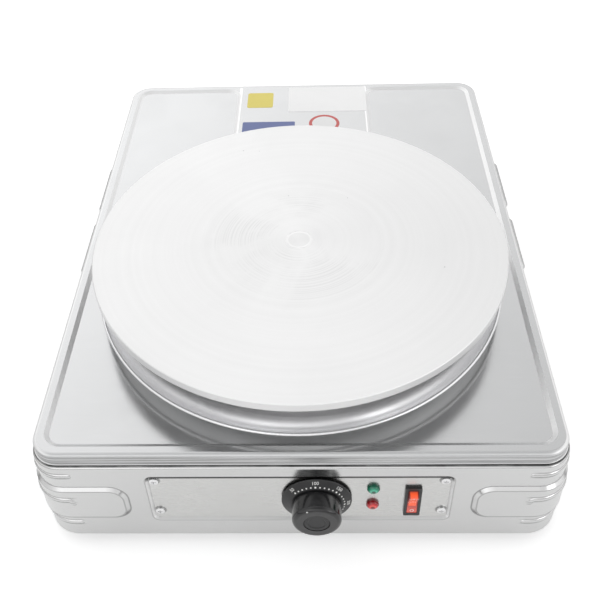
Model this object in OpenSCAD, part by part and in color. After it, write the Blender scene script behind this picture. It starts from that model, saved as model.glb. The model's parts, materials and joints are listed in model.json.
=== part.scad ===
// Electric crepe maker: a stamped steel casing with a pressed cover, a round griddle plate on
// posts over a spun drip dish, heating elements under the plate, and a thermostat, two lamps
// and a rocker switch on the front. Millimetres, +Z up, front towards -Y.

/* [Casing] */
// Width of the casing over its side walls, at their top
casing_w = 466; // [440:1:600]
// Depth of the casing over its front and rear walls, at their top
casing_d = 600; // [560:1:760]
// Height of the casing and its cover above the casing's bottom edge
casing_h = 117.5; // [112:0.5:170]
// Angle by which the walls lean out towards the bottom
wall_draft = 2.7; // [0:0.1:4]
// Outside radius of the casing's upright corners, at their top
corner_r = 26; // [20:1:40]
// Thickness of the stainless sheet
sheet = 1.2; // [0.8:0.1:1.6]
// Height of the casing's bottom edge above the floor
casing_lift = 12; // [8:1:30]
// Width of the casing's turned-in bottom flange
bottom_flange = 18; // [16:1:26]
// Width of the turned-in ledge that carries the cover
ledge_w = 15; // [14:1:24]
// Outside radius of the bends between the walls and the flanges
bend_r = 2.6; // [1.8:0.1:4]

/* [Cover] */
// Height of the cover's skirt
skirt_h = 14; // [12:1:24]
// Radius of the bead along the skirt's lower edge
hem_r = 0.9; // [0.6:0.1:1.5]
// Distance from the casing's wall in to the cover's skirt
cover_step = 3; // [2:0.5:4]
// Radius of the cover's top edge
cover_edge_r = 4; // [2:0.5:5]
// Width of the flat border round the cover
border_w = 9.5; // [7:0.5:16]
// Depth of the pressed field below the border
field_depth = 2.5; // [1.5:0.5:4]
// Width of the slope between the border and the field
field_slope = 4; // [3:0.5:6]
// Corner radius of the pressed field
field_r = 13; // [8:1:20]
// Width of the raised spine behind the griddle
spine_w = 166; // [120:1:200]
// Open gap between the cover's skirt and the casing's ledge
skirt_gap = 0.6; // [0.4:0.1:1]

/* [Griddle] */
// Diameter of the griddle plate
plate_d = 400; // [380:1:420]
// Thickness of the griddle plate
plate_t = 9.5; // [8:0.5:14]
// Height of the griddle's top over the cover's border
plate_rise = 55.5; // [50:0.5:80]
// Distance of the griddle's centre in front of the casing's middle
plate_offset = 87; // [80:1:95]
// Height of the dish's lip over the cover's border
dish_rise = 15; // [12:0.5:24]
// Diameter of the dish over its rolled lip
dish_d = 400; // [380:1:410]
// Diameter of the dish's flat floor
dish_floor_d = 344; // [330:1:350]
// Radius of the dish's rolled lip
dish_bead_r = 1.6; // [1.2:0.1:2.4]
// Diameter of the heat shield under the griddle
shield_d = 290; // [280:1:300]
// Distance of each griddle post from the griddle's centre lines
post_pitch = 76; // [72:1:80]

/* [Heating] */
// Diameter of the outer heating element on its centre line
outer_ring_d = 250; // [240:1:256]
// Diameter of the inner heating element on its centre line
inner_ring_d = 116; // [104:1:120]
// Diameter of the heating elements' tube
element_d = 8.4; // [7:0.2:9]
// Thickness of the insulation in the heat shield
insulation_t = 58; // [30:1:66]

/* [Front panel] */
// Width of the recess for the control panel
window_w = 266; // [260:1:284]
// Height of the recess for the control panel
window_h = 64.5; // [63:0.5:74]
// Height of the recess's middle below the cover's border
window_drop = 60; // [58:0.5:66]
// Depth of the recess
window_depth = 2.5; // [2:0.5:3.5]
// Height of the thermostat's axis below the cover's border
dial_drop = 60.5; // [58:0.5:64]
// Distance of the thermostat's axis to the right of the middle
dial_x = 15; // [0:1:24]
// Diameter of the dial ring
dial_d = 62; // [58:1:64]
// Diameter of the knob
knob_d = 43; // [40:1:44]
// Reach of the knob's front in front of the control panel
knob_reach = 26; // [22:0.5:34]
// Distance of the lamps to the right of the middle
lamp_x = 64.5; // [58:0.5:70]
// Height between the two lamps
lamp_pitch = 23.6; // [18:0.2:26]
// Distance of the rocker switch to the right of the middle
switch_x = 99.5; // [90:0.5:112]
// Height of the switch's bezel
switch_h = 41; // [38:1:46]
// Width of the switch's bezel
switch_w = 14.6; // [14.4:0.1:18]
// Angle of the rocker from its middle position, each way
rocker_tilt = 10; // [6:1:12]

/* [Pressings] */
// Height of the corner pockets that are pressed out of the casing
pocket_h = 46; // [40:1:56]
// Height of the pockets' top below the cover's border
pocket_drop = 42; // [40:1:50]
// Reach of the pockets in front of the wall
pocket_out = 2.5; // [2:0.5:5]
// Length of a pocket along the flat wall from the corner's bend
pocket_arm = 55; // [40:1:70]
// Radius of the pockets' rounded ends
pocket_end_r = 17; // [12:1:20]
// Length of a side louvre
louvre_l = 84; // [60:1:110]
// Reach of a side louvre out of the wall
louvre_out = 6.5; // [5:0.5:8]
// Radius of the ridges drawn round the corners
rib_r = 3.5; // [2.5:0.5:5]
// Reach of the ridges out of the wall
rib_out = 1.1; // [0.8:0.1:1.6]

/* [Feet and gland] */
// Diameter of the rubber feet at the top
foot_d = 32; // [26:1:40]
// Distance of the feet's centres in from the casing's walls
foot_inset = 48; // [40:1:80]
// Distance of the cable gland to the right of the middle
gland_x = 96; // [60:1:120]
// Height of the cable gland above the casing's bottom edge
gland_h = 34; // [30:1:44]
// Inside radius of the cable gland's seal
gland_bore_r = 5; // [4:0.5:6]

/* [Hidden] */
$fn = 96;
e = 0.01;              // overshoot of a cutting shape
fit = 0.3;             // gap between pieces that don't touch
screw_fit = 0.2;       // radial gap round a screw
thread_fit = 0.05;     // radial gap of a tapped hole
run_fit = 0.05;        // radial running clearance of a shaft
half_w = casing_w / 2;
half_d = casing_d / 2;
edge_z = casing_lift;
top_z = edge_z + casing_h;
ledge_z = top_z - skirt_h;
base_z = edge_z + sheet;          // underside of the base plate
floor_z = base_z + sheet;         // upper side of the base plate
lean = tan(wall_draft);
base_gap = bend_r + 0.2;          // base plate's edge in from the casing's wall
cover_w = casing_w - 2 * cover_step;
cover_d = casing_d - 2 * cover_step;
cover_r = corner_r - cover_step;
slope_out = border_w + field_slope;
field_w = cover_w - 2 * slope_out;
field_d = cover_d - 2 * slope_out;
lobe_w = (field_w - spine_w) / 2 - field_slope;
flange_hole_u = 9.5;              // screws' distance in from the casing's wall
foot_out = wall_out(edge_z);      // how far the walls lean out at the bottom

plate_r = plate_d / 2;
plate_y = -plate_offset;
plate_top = top_z + plate_rise;
plate_under = plate_top - plate_t;
dish_r = dish_d / 2;
dish_floor_r = dish_floor_d / 2;
dish_hole_r = 150;
seat_r = dish_floor_r + 12;       // raised round seat pressed in the cover
dish_z = top_z;
shield_r = shield_d / 2;
shield_t = 1;
rail_h = 14;
rail_w = 26;
rail_t = 1.5;
rail_top = top_z - 40;
rail_half = half_w + wall_out(rail_top) - sheet / cos(wall_draft) - fit / 3;
post_r = 6;
stud_r = 3.9;
stud_depth = 6;
element_r = element_d / 2;
element_z = plate_under - element_r - fit;
element_bend = 11;
element_gap = 16;                 // half the angle left open in a ring
strap_t = 2.5;
strap_w = 14;
strap_z = element_z - element_r - fit - strap_t;
strap_mid = (outer_ring_d + inner_ring_d) / 4;
strap_angles = [30, 150, 210, 330];
bulb_r = 3;
bulb_y = plate_y - strap_mid;
bulb_z = plate_under - bulb_r - fit;
bulb_x = [-60, 20];
capillary_r = 1;
capillary_bend = 8;

panel_t = 1;
panel_y = window_depth - panel_t; // panel's front face behind the casing's wall
window_z = top_z - window_drop;
window_slope = 2;
panel_gap = 0.5;
panel_w = window_w - 2 * (window_slope + panel_gap);
panel_h = window_h - 2 * (window_slope + panel_gap);
window_r = 6;
window_ledge = 14;
panel_screw_x = window_w / 2 - 7;
panel_screw_z = [window_z + 26, window_z - 18.5];
panel_head_r = 4;
dial_z = top_z - dial_drop;
dial_rise = 7;
dial_foot_r = 26;                 // the ring's foot inside the recess
shaft_r = 3;
body_side = 40;
body_depth = 26;
mount_pitch = 28;
knob_back = dial_rise + 0.5;
lamp_z = window_z + 2.6;
lamp_r = 5.7;
lamp_hole_r = 4.9;
switch_z = window_z - 4.3;
switch_body_h = switch_h - 2.6;
switch_wall = 1.6;
rocker_w = switch_w - 2 * switch_wall - 2;
rocker_r = switch_body_h / 2 - 0.9 - fit;
rocker_mid = 7.4;
pivot_in = 5.2;                   // rocker's pivot behind the panel's front face
pivot_r = 1.5;
bezel_t = 2.4;

pocket_top = skirt_h - pocket_drop;   // along the wall, from the ledge down
pocket_low = pocket_top - pocket_h;
pocket_slope = 3;
pocket_sink = 0.05;               // lets the pockets' flanks cross the walls' faces
rib_high = -12;                   // the three ridges, along the wall from the ledge down
rib_mid = pocket_top - 16;
rib_low = pocket_low - 8;
rib_curl = 5;
louvre_y = [98, -8];
louvre_z = ledge_z - bend_r - 8;
gland_z = edge_z + gland_h;
gland_thread_r = 9.2;
gland_flange_r = 13;
gland_out = 24;                   // reach of the gland behind the rear wall
seal_in = 6;                      // seal's inner end behind the rear wall
gland_end_r = 8.4;
knob_edge_r = 4;
body_y = (knob_out() - gland_reach()) / 2;
foot_h = base_z;
foot_top_r = foot_d / 2;
screw_r = 2;

// How far a wall stands out at height z from its place at the ledge.
function wall_out(z) = (ledge_z - z) * lean;

// How far the knob stands out in front of the casing's depth, and the gland behind it.
function knob_out() = wall_out(dial_z) + (knob_reach - panel_y - knob_edge_r) * cos(wall_draft)
    + (knob_d / 2 - knob_edge_r) * sin(wall_draft) + knob_edge_r;
function gland_reach() = wall_out(gland_z) + gland_out * cos(wall_draft)
    + gland_end_r * sin(wall_draft);

// ---- shapes that several pieces use ----

module rect_2d(w, d, r) {
    square([w - 2 * r, d], center = true);
    square([w, d - 2 * r], center = true);
    for (x = [-1, 1], y = [-1, 1])
        translate([x * (w / 2 - r), y * (d / 2 - r)]) circle(r);
}

module slab(w, d, r, h) {
    linear_extrude(h) rect_2d(w, d, r);
}

// Sweeps a profile, x outwards and y upwards, round a rectangle with rounded corners.
module sweep_rect(w, d, r) {
    for (a = [0, 180])
        rotate([0, 0, a]) translate([w / 2, 0, 0]) rotate([90, 0, 0])
            linear_extrude(d - 2 * r, center = true) children();
    for (a = [90, 270])
        rotate([0, 0, a]) translate([d / 2, 0, 0]) rotate([90, 0, 0])
            linear_extrude(w - 2 * r, center = true) children();
    for (x = [0, 1], y = [0, 1])
        mirror([x, 0, 0]) mirror([0, y, 0])
            translate([w / 2 - r, d / 2 - r, 0])
                rotate_extrude(angle = 90) translate([r, 0]) children();
}

// A pad with rounded corners whose sides slope in by s over its height h.
module sloped_pad(w, d, r, s, h) {
    rotate([90, 0, 0]) linear_extrude(d - 2 * r, center = true)
        polygon([[-w / 2, 0], [w / 2, 0], [w / 2 - s, h], [s - w / 2, h]]);
    rotate([90, 0, 90]) linear_extrude(w - 2 * r, center = true)
        polygon([[-d / 2, 0], [d / 2, 0], [d / 2 - s, h], [s - d / 2, h]]);
    for (x = [-1, 1], y = [-1, 1])
        translate([x * (w / 2 - r), y * (d / 2 - r), 0]) cylinder(h = h, r1 = r, r2 = r - s);
}

module on_body() translate([0, body_y, 0]) children();

// Puts a shape on a wall: its z points out of the wall, its y up.
module on_wall(x, y, z, turn)
    translate([x, y, z]) rotate([90 - wall_draft, 0, turn]) children();
module on_front(x, z) on_wall(x, -half_d - wall_out(z), z, 0) children();
module on_rear(x, z) on_wall(x, half_d + wall_out(z), z, 180) children();
module on_side(s, y, z) on_wall(s * (half_w + wall_out(z)), y, z, s * 90) children();
module on_panel(x, z) on_front(x, z) translate([0, 0, -panel_y]) children();
module at_griddle() on_body() translate([0, plate_y, 0]) children();

module at_corners()
    for (x = [0, 1], y = [0, 1]) mirror([x, 0, 0]) mirror([0, y, 0]) children();

module hex(r, h) cylinder(h = h, r = r, $fn = 6);

// A pan-head screw with a cross recess: its head stands on z = 0, its shank points down.
module pan_screw(r, length, head_r = 4, head_h = 2.4) {
    difference() {
        intersection() {
            cylinder(h = head_h, r = head_r);
            translate([0, 0, head_h - 3 * head_r]) sphere(3 * head_r);
        }
        for (a = [0, 90]) rotate([0, 0, a])
            translate([-head_r * 0.55, -0.45, head_h - 1.2]) cube([head_r * 1.1, 0.9, 2]);
    }
    translate([0, 0, -length]) cylinder(h = length + e, r = r);
}

// ---- casing ----

// A sheet bent into a channel of height h with a leaning web and two inward arms.
module channel_2d(h, low_arm, high_arm) {
    difference() {
        channel_block(h, low_arm, high_arm, 0);
        channel_block(h, low_arm + sheet, high_arm + sheet, sheet);
    }
}

// The channel's outline, inset by i. Its web passes through x = 0 at the top.
module channel_block(h, low_arm, high_arm, i) {
    r = bend_r - i;
    out = [cos(wall_draft), sin(wall_draft)];
    low = [((h - bend_r) * out[1] - bend_r) / out[0], bend_r];
    high = [bend_r * (out[1] - 1) / out[0], h - bend_r];
    polygon([
        [-low_arm, i], [low[0], i], low + r * out, high + r * out, [high[0], h - i],
        [-high_arm, h - i], [-high_arm, h / 2], [-low_arm, h / 2]
    ]);
    translate(low) circle(r);
    translate(high) circle(r);
}

// Turns a profile round the front right corner: x out of the wall, y up along it.
module corner_turn()
    translate([half_w - corner_r, corner_r - half_d, ledge_z]) rotate([0, 0, 270])
        rotate_extrude(angle = 90) translate([corner_r, 0]) rotate(wall_draft) children();

// One corner pocket's form, raised from u outwards and smaller by i all round.
module pocket_profile(u, i) {
    polygon([
        [u - 1, pocket_low + i], [u, pocket_low + i], [u + pocket_out, pocket_low + i + pocket_slope],
        [u + pocket_out, pocket_top - i - pocket_slope], [u, pocket_top - i], [u - 1, pocket_top - i]
    ]);
}

// The pocket's arm on a flat wall: a straight run, two quarter turns and the end between them.
module pocket_flat(u, i) {
    run = pocket_arm - pocket_end_r;
    r = pocket_end_r - i;
    side = [[0, -1], [r, -1], [r, 0], [r - pocket_slope, pocket_out], [0, pocket_out]];
    translate([run, 0, 0]) rotate([0, -90, 0]) linear_extrude(run) pocket_profile(u, i);
    translate([run, pocket_top - pocket_end_r, u]) rotate_extrude(angle = 90) polygon(side);
    translate([run, pocket_low + pocket_end_r, u]) rotate([0, 0, -90])
        rotate_extrude(angle = 90) polygon(side);
    translate([run, pocket_top - pocket_end_r, u]) rotate([90, 0, 0])
        linear_extrude(pocket_h - 2 * pocket_end_r) polygon(side);
}

// The pocket wraps round the front right corner; its two arms lie on the walls.
module corner_pocket(u, i) {
    corner_turn() pocket_profile(u, i);
    on_front(half_w - corner_r, ledge_z) mirror([1, 0, 0]) pocket_flat(u, i);
    on_side(1, corner_r - half_d, ledge_z) pocket_flat(u, i);
}

// Section of a drawn ridge: x across it, y out of the wall.
module rib_2d() intersection() {
    translate([0, rib_out - rib_r]) circle(rib_r);
    translate([-rib_r, -1]) square([2 * rib_r, rib_r]);
}

module rib_end() intersection() {
    translate([0, 0, rib_out - rib_r]) sphere(rib_r);
    translate([-rib_r, -rib_r, -1]) cube([2 * rib_r, 2 * rib_r, rib_r]);
}

// A ridge along the wall, which ends in a curl down of radius curl or straight where it is 0.
module rib_arm(arm, curl) {
    rotate([90, 0, 90]) linear_extrude(arm) rib_2d();
    if (curl > 0) {
        translate([arm, -curl, 0]) rotate_extrude(angle = 90) translate([curl, 0]) rib_2d();
        translate([arm + curl, -curl, 0]) rib_end();
    } else {
        translate([arm, 0, 0]) rib_end();
    }
}

// A ridge round the front right corner at v along the wall, run out on both walls.
module corner_rib(v, u, arm, curl = 0) {
    corner_turn() translate([u, v]) rotate(-90) rib_2d();
    on_front(half_w - corner_r, ledge_z) translate([0, v, u]) mirror([1, 0, 0]) rib_arm(arm, curl);
    on_side(1, corner_r - half_d, ledge_z) translate([0, v, u]) rib_arm(arm, curl);
}

module louvre_capsule(r) {
    rotate([0, 90, 0]) cylinder(h = louvre_l - 2 * louvre_out, r = r, center = true);
    for (x = [-1, 1]) translate([x * (louvre_l / 2 - louvre_out), 0, 0]) sphere(r);
}

// A hood pressed out of the wall that is open along its lower edge.
module louvre_hood() {
    intersection() {
        difference() {
            louvre_capsule(louvre_out);
            louvre_capsule(louvre_out - sheet);
        }
        translate([-louvre_l / 2, 0, -sheet]) cube([louvre_l, louvre_out, louvre_out + sheet]);
    }
}

module at_louvres()
    for (s = [-1, 1], y = louvre_y) on_side(s, y, louvre_z) children();

module window_form(grow, depth) {
    w = window_w + 2 * grow;
    h = window_h + 2 * grow;
    mirror([0, 0, 1]) sloped_pad(w, h, window_r + grow, window_slope, depth);
}

module at_flange_holes() {
    u = foot_out - flange_hole_u;
    for (x = [-1, 1], y = [-190, 0, 190]) translate([x * (half_w + u), y, 0]) children();
    for (y = [-1, 1], x = [-150, 150]) translate([x, y * (half_d + u), 0]) children();
}

module at_ledge_holes() {
    for (x = [-1, 1], y = [-150, 150]) translate([x * (half_w - flange_hole_u), y, 0]) children();
    for (y = [-1, 1]) translate([0, y * (half_d - flange_hole_u), 0]) children();
}

module casing() color("gainsboro") on_body() {
    difference() {
        union() {
            sweep_rect(casing_w, casing_d, corner_r) translate([0, edge_z])
                channel_2d(ledge_z - edge_z, bottom_flange - foot_out, ledge_w);
            at_corners() corner_pocket(-pocket_sink, 0);
            at_corners() {
                corner_rib(rib_high, 0, 8);
                corner_rib(rib_mid, pocket_out, 1, rib_curl);
                corner_rib(rib_low, 0, 6);
            }
            at_louvres() louvre_hood();
            on_front(0, window_z) window_form(sheet, window_depth + sheet);
        }
        at_corners() corner_pocket(-sheet - pocket_sink, 0.5);
        at_louvres() translate([0, (louvre_out - sheet) / 2, -sheet - e])
            slab(louvre_l - 2 * louvre_out, louvre_out - 2 * sheet, 1.2, sheet + 2 * e);
        on_front(0, window_z) {
            translate([0, 0, e]) window_form(0, window_depth + e);
            translate([0, 0, -window_depth - 2 * sheet])
                slab(window_w - 2 * window_ledge, window_h - window_ledge, 4, 4 * sheet);
        }
        for (x = [-1, 1], z = panel_screw_z)
            on_front(x * panel_screw_x, z)
                translate([0, 0, -10]) cylinder(h = 20, r = screw_r + thread_fit);
        at_flange_holes() translate([0, 0, edge_z - 1])
            cylinder(h = sheet + 2, r = screw_r + screw_fit);
        at_ledge_holes() translate([0, 0, ledge_z - sheet - 1])
            cylinder(h = sheet + 2, r = screw_r + screw_fit);
        on_rear(gland_x, gland_z) translate([0, 0, -5]) cylinder(h = 10, r = gland_thread_r + 0.1);
    }
}

// ---- cover ----

// The pressed field, from the border's plane down by depth: two lobes beside the spine and the
// front, less the round seat of the dish. Drop lowers it for the underside of the sheet.
module field_form(drop, grow) {
    w = field_w + 2 * field_slope + 2 * grow;
    d = field_d + 2 * field_slope + 2 * grow;
    lw = lobe_w + 2 * field_slope + 2 * grow;
    front_d = d / 2 + plate_y;
    r = field_r + field_slope + grow;
    translate([0, 0, top_z - drop]) difference() {
        mirror([0, 0, 1]) {
            for (x = [-1, 1]) translate([x * (w - lw) / 2, 0, 0])
                sloped_pad(lw, d, r, field_slope, field_depth);
            translate([0, (plate_y + 20 - d / 2) / 2, 0])
                sloped_pad(w, front_d + 20, r, field_slope, field_depth);
        }
        translate([0, plate_y, -field_depth - e])
            cylinder(h = field_depth + 2 * e, r1 = seat_r - grow + 3, r2 = seat_r - grow);
    }
}

module cover_block(inset) {
    w = cover_w - 2 * inset;
    d = cover_d - 2 * inset;
    r = cover_r - inset;
    er = cover_edge_r - inset;
    low = ledge_z + skirt_gap - (inset > 0 ? 1 : 0);
    high = top_z - inset;
    translate([0, 0, low]) slab(w, d, r, high - er - low);
    translate([0, 0, high - er]) slab(w - 2 * er, d - 2 * er, r - er, er);
    sweep_rect(w - 2 * er, d - 2 * er, r - er) translate([0, high - er]) intersection() {
        circle(er);
        square(er);
    }
}

module hem_2d() intersection() {
    circle(hem_r);
    translate([-sheet / 2, -hem_r]) square([sheet / 2 + hem_r, 2 * hem_r]);
}

module top_cover() color("whitesmoke") on_body() {
    difference() {
        union() {
            difference() {
                cover_block(0);
                difference() {
                    cover_block(sheet);
                    field_form(sheet, sheet * 0.4);
                    field_form(0, sheet * 0.4);
                }
            }
            sweep_rect(cover_w, cover_d, cover_r)
                translate([0, ledge_z + skirt_gap + hem_r]) hem_2d();
            at_ledge_holes() translate([0, 0, ledge_z + fit / 3])
                cylinder(h = skirt_h - sheet, r = 4);
        }
        translate([0, 0, e]) field_form(e, 0);
        translate([0, plate_y, top_z - 10]) cylinder(h = 20, r = dish_hole_r);
        at_ledge_holes() translate([0, 0, ledge_z - 1])
            cylinder(h = 11, r = screw_r + thread_fit);
    }
}

module cover_screws() color("silver") on_body()
    at_ledge_holes() translate([0, 0, ledge_z - sheet]) mirror([0, 0, 1]) pan_screw(screw_r, 9);

// ---- base ----

module base_plate() color("lightgray") on_body() difference() {
    translate([0, 0, base_z]) slab(
        casing_w + 2 * (foot_out - base_gap), casing_d + 2 * (foot_out - base_gap),
        corner_r + foot_out - base_gap, sheet
    );
    at_flange_holes() translate([0, 0, base_z - 1]) cylinder(h = 4, r = screw_r + thread_fit);
    at_feet() translate([0, 0, -1]) cylinder(h = foot_h + 4, r = screw_r + 0.5 + screw_fit);
    for (y = [-150:14:-24], x = [-80, 80])
        translate([x, y, base_z - 1]) slab(110, 5, 2.4, sheet + 2);
    for (x = [-1, 1]) translate([terminal_x + x * terminal_pitch, terminal_y, base_z - 1])
        cylinder(h = 4, r = screw_r + thread_fit);
}

module base_screws() color("silver") on_body()
    at_flange_holes() translate([0, 0, edge_z]) mirror([0, 0, 1]) pan_screw(screw_r, 7);

module foot_place(x, y)
    translate([x * (half_w - foot_inset), y * (half_d - foot_inset), 0]) children();
module at_feet() for (x = [-1, 1], y = [-1, 1]) foot_place(x, y) children();

module foot(x, y) color("dimgray") on_body() foot_place(x, y) rotate_extrude() polygon([
    [screw_r + 0.5 + screw_fit, 7], [6.5, 7], [6.5, 0], [foot_top_r - 5, 0], [foot_top_r - 3.4, 0.6],
    [foot_top_r - 2.6, 2], [foot_top_r, foot_h - 3], [foot_top_r, foot_h],
    [screw_r + 0.5 + screw_fit, foot_h]
]);

module foot_screws() color("silver") on_body() at_feet()
    translate([0, 0, 7]) mirror([0, 0, 1]) pan_screw(screw_r + 0.5, 15, 4.6, 2.8);

module foot_nuts() color("silver") on_body() at_feet() translate([0, 0, floor_z]) difference() {
    hex(5, 4);
    translate([0, 0, -1]) cylinder(h = 6, r = screw_r + 0.5 + thread_fit);
}

// ---- control panel ----

module control_panel() color("gainsboro") on_body() difference() {
    on_front(0, window_z) translate([0, 0, -window_depth]) slab(panel_w, panel_h, 3, panel_t);
    for (x = [-1, 1], z = panel_screw_z) on_panel(x * panel_screw_x, z)
        translate([0, 0, -3]) cylinder(h = 5, r = screw_r + screw_fit);
    on_panel(dial_x, dial_z) translate([0, 0, -3]) {
        cylinder(h = 5, r = shaft_r + 2);
        for (x = [-1, 1]) translate([x * mount_pitch / 2, 0, 0])
            cylinder(h = 5, r = screw_r + screw_fit);
    }
    for (z = [-1, 1]) on_panel(lamp_x, lamp_z + z * lamp_pitch / 2)
        translate([0, 0, -3]) cylinder(h = 5, r = lamp_hole_r);
    on_panel(switch_x, switch_z) translate([0, 0, -3])
        slab(rocker_w + 2 * switch_wall + 1.2, switch_body_h + 0.4, 0.6, 5);
}

module panel_screws() color("whitesmoke") on_body()
    for (x = [-1, 1], z = panel_screw_z) on_panel(x * panel_screw_x, z)
        pan_screw(screw_r, 8, panel_head_r, 2.4);

// ---- thermostat and knob ----

module dial_ring() color("black") on_body() on_panel(dial_x, dial_z) rotate_extrude() polygon([
    [7, 0], [9, 0], [9, dial_rise - 1.4], [21, dial_rise - 1.4], [dial_foot_r - 2, dial_rise - 3],
    [dial_foot_r - 2, 0], [dial_foot_r, 0], [dial_foot_r, panel_y + 0.5],
    [dial_d / 2, panel_y + 0.5], [dial_d / 2, panel_y + 1], [dial_d / 2 - 0.6, panel_y + 1.6],
    [knob_d / 2 + 1.4, dial_rise], [7, dial_rise]
]);

module knob_form() {
    rotate_extrude() difference() {
        union() {
            translate([0, knob_back]) square([knob_d / 2 - 0.6, 4]);
            translate([0, knob_back + 1.2])
                square([knob_d / 2, knob_reach - knob_back - knob_edge_r - 1.2]);
            translate([0, knob_reach - 6]) square([knob_d / 2 - knob_edge_r, 6]);
            translate([knob_d / 2 - knob_edge_r, knob_reach - knob_edge_r]) circle(knob_edge_r);
        }
        translate([-knob_d, knob_back - 10]) square([knob_d, 60]);
        translate([0, knob_reach - 1.8]) square([11.6, 5]);
        translate([8, knob_back - e]) square([knob_d / 2 - 10.2, 9]);
    }
}

module knob() color("black") on_body() on_panel(dial_x, dial_z) difference() {
    knob_form();
    translate([0, 0, knob_back - 1]) cylinder(h = 13, r = shaft_r + 0.02);
}

module knob_insert() color("dimgray") on_body() on_panel(dial_x, dial_z)
    translate([0, 0, knob_reach - 1.8]) rotate_extrude() polygon([
        [0, 0], [11.4, 0], [11.4, 1.1], [10.9, 1.5], [8.2, 1.5], [7.6, 0.9], [0, 0.9]
    ]);

module thermostat_shaft() color("silver") on_body() on_panel(dial_x, dial_z)
    translate([0, 0, -panel_t - 10]) cylinder(h = knob_back + panel_t + 10 + 11, r = shaft_r);

module thermostat_body() color("beige") on_body() on_panel(dial_x, dial_z) difference() {
    union() {
        translate([0, 0, -panel_t - body_depth])
            slab(body_side, body_side, 3, body_depth - 6);
        translate([0, 0, -panel_t - 6]) slab(mount_pitch + 12, 16, 4, 6 - fit / 3);
    }
    translate([0, 0, -panel_t - 10.2]) cylinder(h = 20, r = shaft_r + run_fit);
    for (x = [-1, 1]) translate([x * mount_pitch / 2, 0, -panel_t - 7])
        cylinder(h = 10, r = screw_r + thread_fit);
}

module thermostat_screws() color("silver") on_body() on_panel(dial_x, dial_z)
    for (x = [-1, 1]) translate([x * mount_pitch / 2, 0, 0]) pan_screw(screw_r, 7, 3.6, 2.2);

// A quarter bend of the capillary tube, from the origin along +X and down to -Z.
module tube_bend() translate([0, 0, -capillary_bend]) rotate([90, 0, 0])
    rotate_extrude(angle = 90, $fn = 48)
        translate([capillary_bend, 0]) rotate(90) circle(capillary_r, $fn = 24);

// A straight length of the tube along +Z, with a core that runs on into its neighbours.
module tube(length) {
    cylinder(h = length, r = capillary_r, $fn = 24);
    translate([0, 0, -0.3]) cylinder(h = length + 0.6, r = capillary_r - 0.02, $fn = 24);
}

module capillary_tube() color("orange") on_body() {
    x = bulb_x[1] + capillary_bend;
    low = dial_z + 4;
    back = panel_y + panel_t + body_depth + fit / 3;
    wall = -half_d - wall_out(low - capillary_r) + back / cos(wall_draft) + 0.3;
    translate([bulb_x[1] - 1, bulb_y, bulb_z]) rotate([0, 90, 0]) tube(1);
    translate([bulb_x[1], bulb_y, bulb_z]) tube_bend();
    translate([x, bulb_y, low + capillary_bend]) tube(bulb_z - low - 2 * capillary_bend);
    translate([x, bulb_y - capillary_bend, low]) rotate([180, 0, 90]) tube_bend();
    translate([x, wall, low]) rotate([-90, 0, 0]) tube(bulb_y - capillary_bend - wall);
}

module sensor_bulb() color("orange") on_body()
    translate([bulb_x[0], bulb_y, bulb_z]) rotate([0, 90, 0])
        cylinder(h = bulb_x[1] - 1.3 - fit / 3 - bulb_x[0], r = bulb_r, $fn = 32);

module bulb_clips() color("silver") on_body() for (x = [bulb_x[0] + 14, bulb_x[1] - 14])
    translate([x, bulb_y, plate_under - 0.1]) difference() {
        union() {
            translate([-5, -13, -1]) cube([10, 26, 1]);
            translate([-5, 0, -bulb_r]) rotate([0, 90, 0]) cylinder(h = 10, r = bulb_r + 1.4);
        }
        translate([-6, 0, -bulb_r - fit + 0.1]) rotate([0, 90, 0]) cylinder(h = 12, r = bulb_r + 0.1);
        translate([-6, -bulb_r - 0.1, -bulb_r - fit + 0.1]) cube([12, 2 * bulb_r + 0.2, 9]);
        translate([-6, -20, 0]) cube([12, 40, 9]);
    }

// ---- lamps ----

module lamp_lens(c, side) color(c) on_body()
    on_panel(lamp_x, lamp_z + side * lamp_pitch / 2) {
        intersection() {
            translate([0, 0, 0.8]) cylinder(h = 5, r = lamp_r - 0.7);
            translate([0, 0, -1.6]) sphere(6.6);
        }
        cylinder(h = 1.4, r = lamp_r);
    }

module lamp_body(side) color("ivory") on_body()
    on_panel(lamp_x, lamp_z + side * lamp_pitch / 2) {
        translate([0, 0, -24]) cylinder(h = 24, r = lamp_hole_r - 0.2);
        translate([0, 0, -panel_t - 4]) hex(7, 3.8);
        for (x = [-1, 1]) translate([x * 2.4 - 0.4, -1.4, -31]) cube([0.8, 2.8, 7.5]);
    }

// ---- rocker switch ----

module rocker_profile() intersection() {
    circle(rocker_r);
    polygon([
        [-20, rocker_mid + 20 * tan(rocker_tilt)], [0, rocker_mid],
        [20, rocker_mid + 20 * tan(rocker_tilt)], [20, -3], [-20, -3]
    ]);
}

module switch_rocker() color("orangered") on_body() on_panel(switch_x, switch_z)
    translate([0, 0, -pivot_in]) rotate([rocker_tilt, 0, 0]) {
        rotate([90, 0, 90]) linear_extrude(rocker_w - 0.6, center = true) rocker_profile();
        rotate([0, 90, 0]) cylinder(h = rocker_w + 1.4, r = pivot_r, center = true);
    }

module switch_housing() color("black") on_body() on_panel(switch_x, switch_z) difference() {
    union() {
        slab(switch_w, switch_h, 1.2, bezel_t);
        translate([0, 0, -24]) slab(rocker_w + 2 * switch_wall, switch_body_h, 0.5, 24);
    }
    translate([0, 0, -pivot_in]) {
        rotate([90, 0, 90]) linear_extrude(rocker_w, center = true) circle(rocker_r + fit);
        rotate([0, 90, 0]) cylinder(h = rocker_w + 2, r = pivot_r + run_fit, center = true);
    }
}

module switch_terminals() color("gold") on_body() on_panel(switch_x, switch_z)
    for (x = [-1, 1], y = [-11, 0, 11])
        translate([x * 2.8 - 0.4, y - 2.4, -33]) cube([0.8, 4.8, 9]);

// ---- griddle and heating ----

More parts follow.
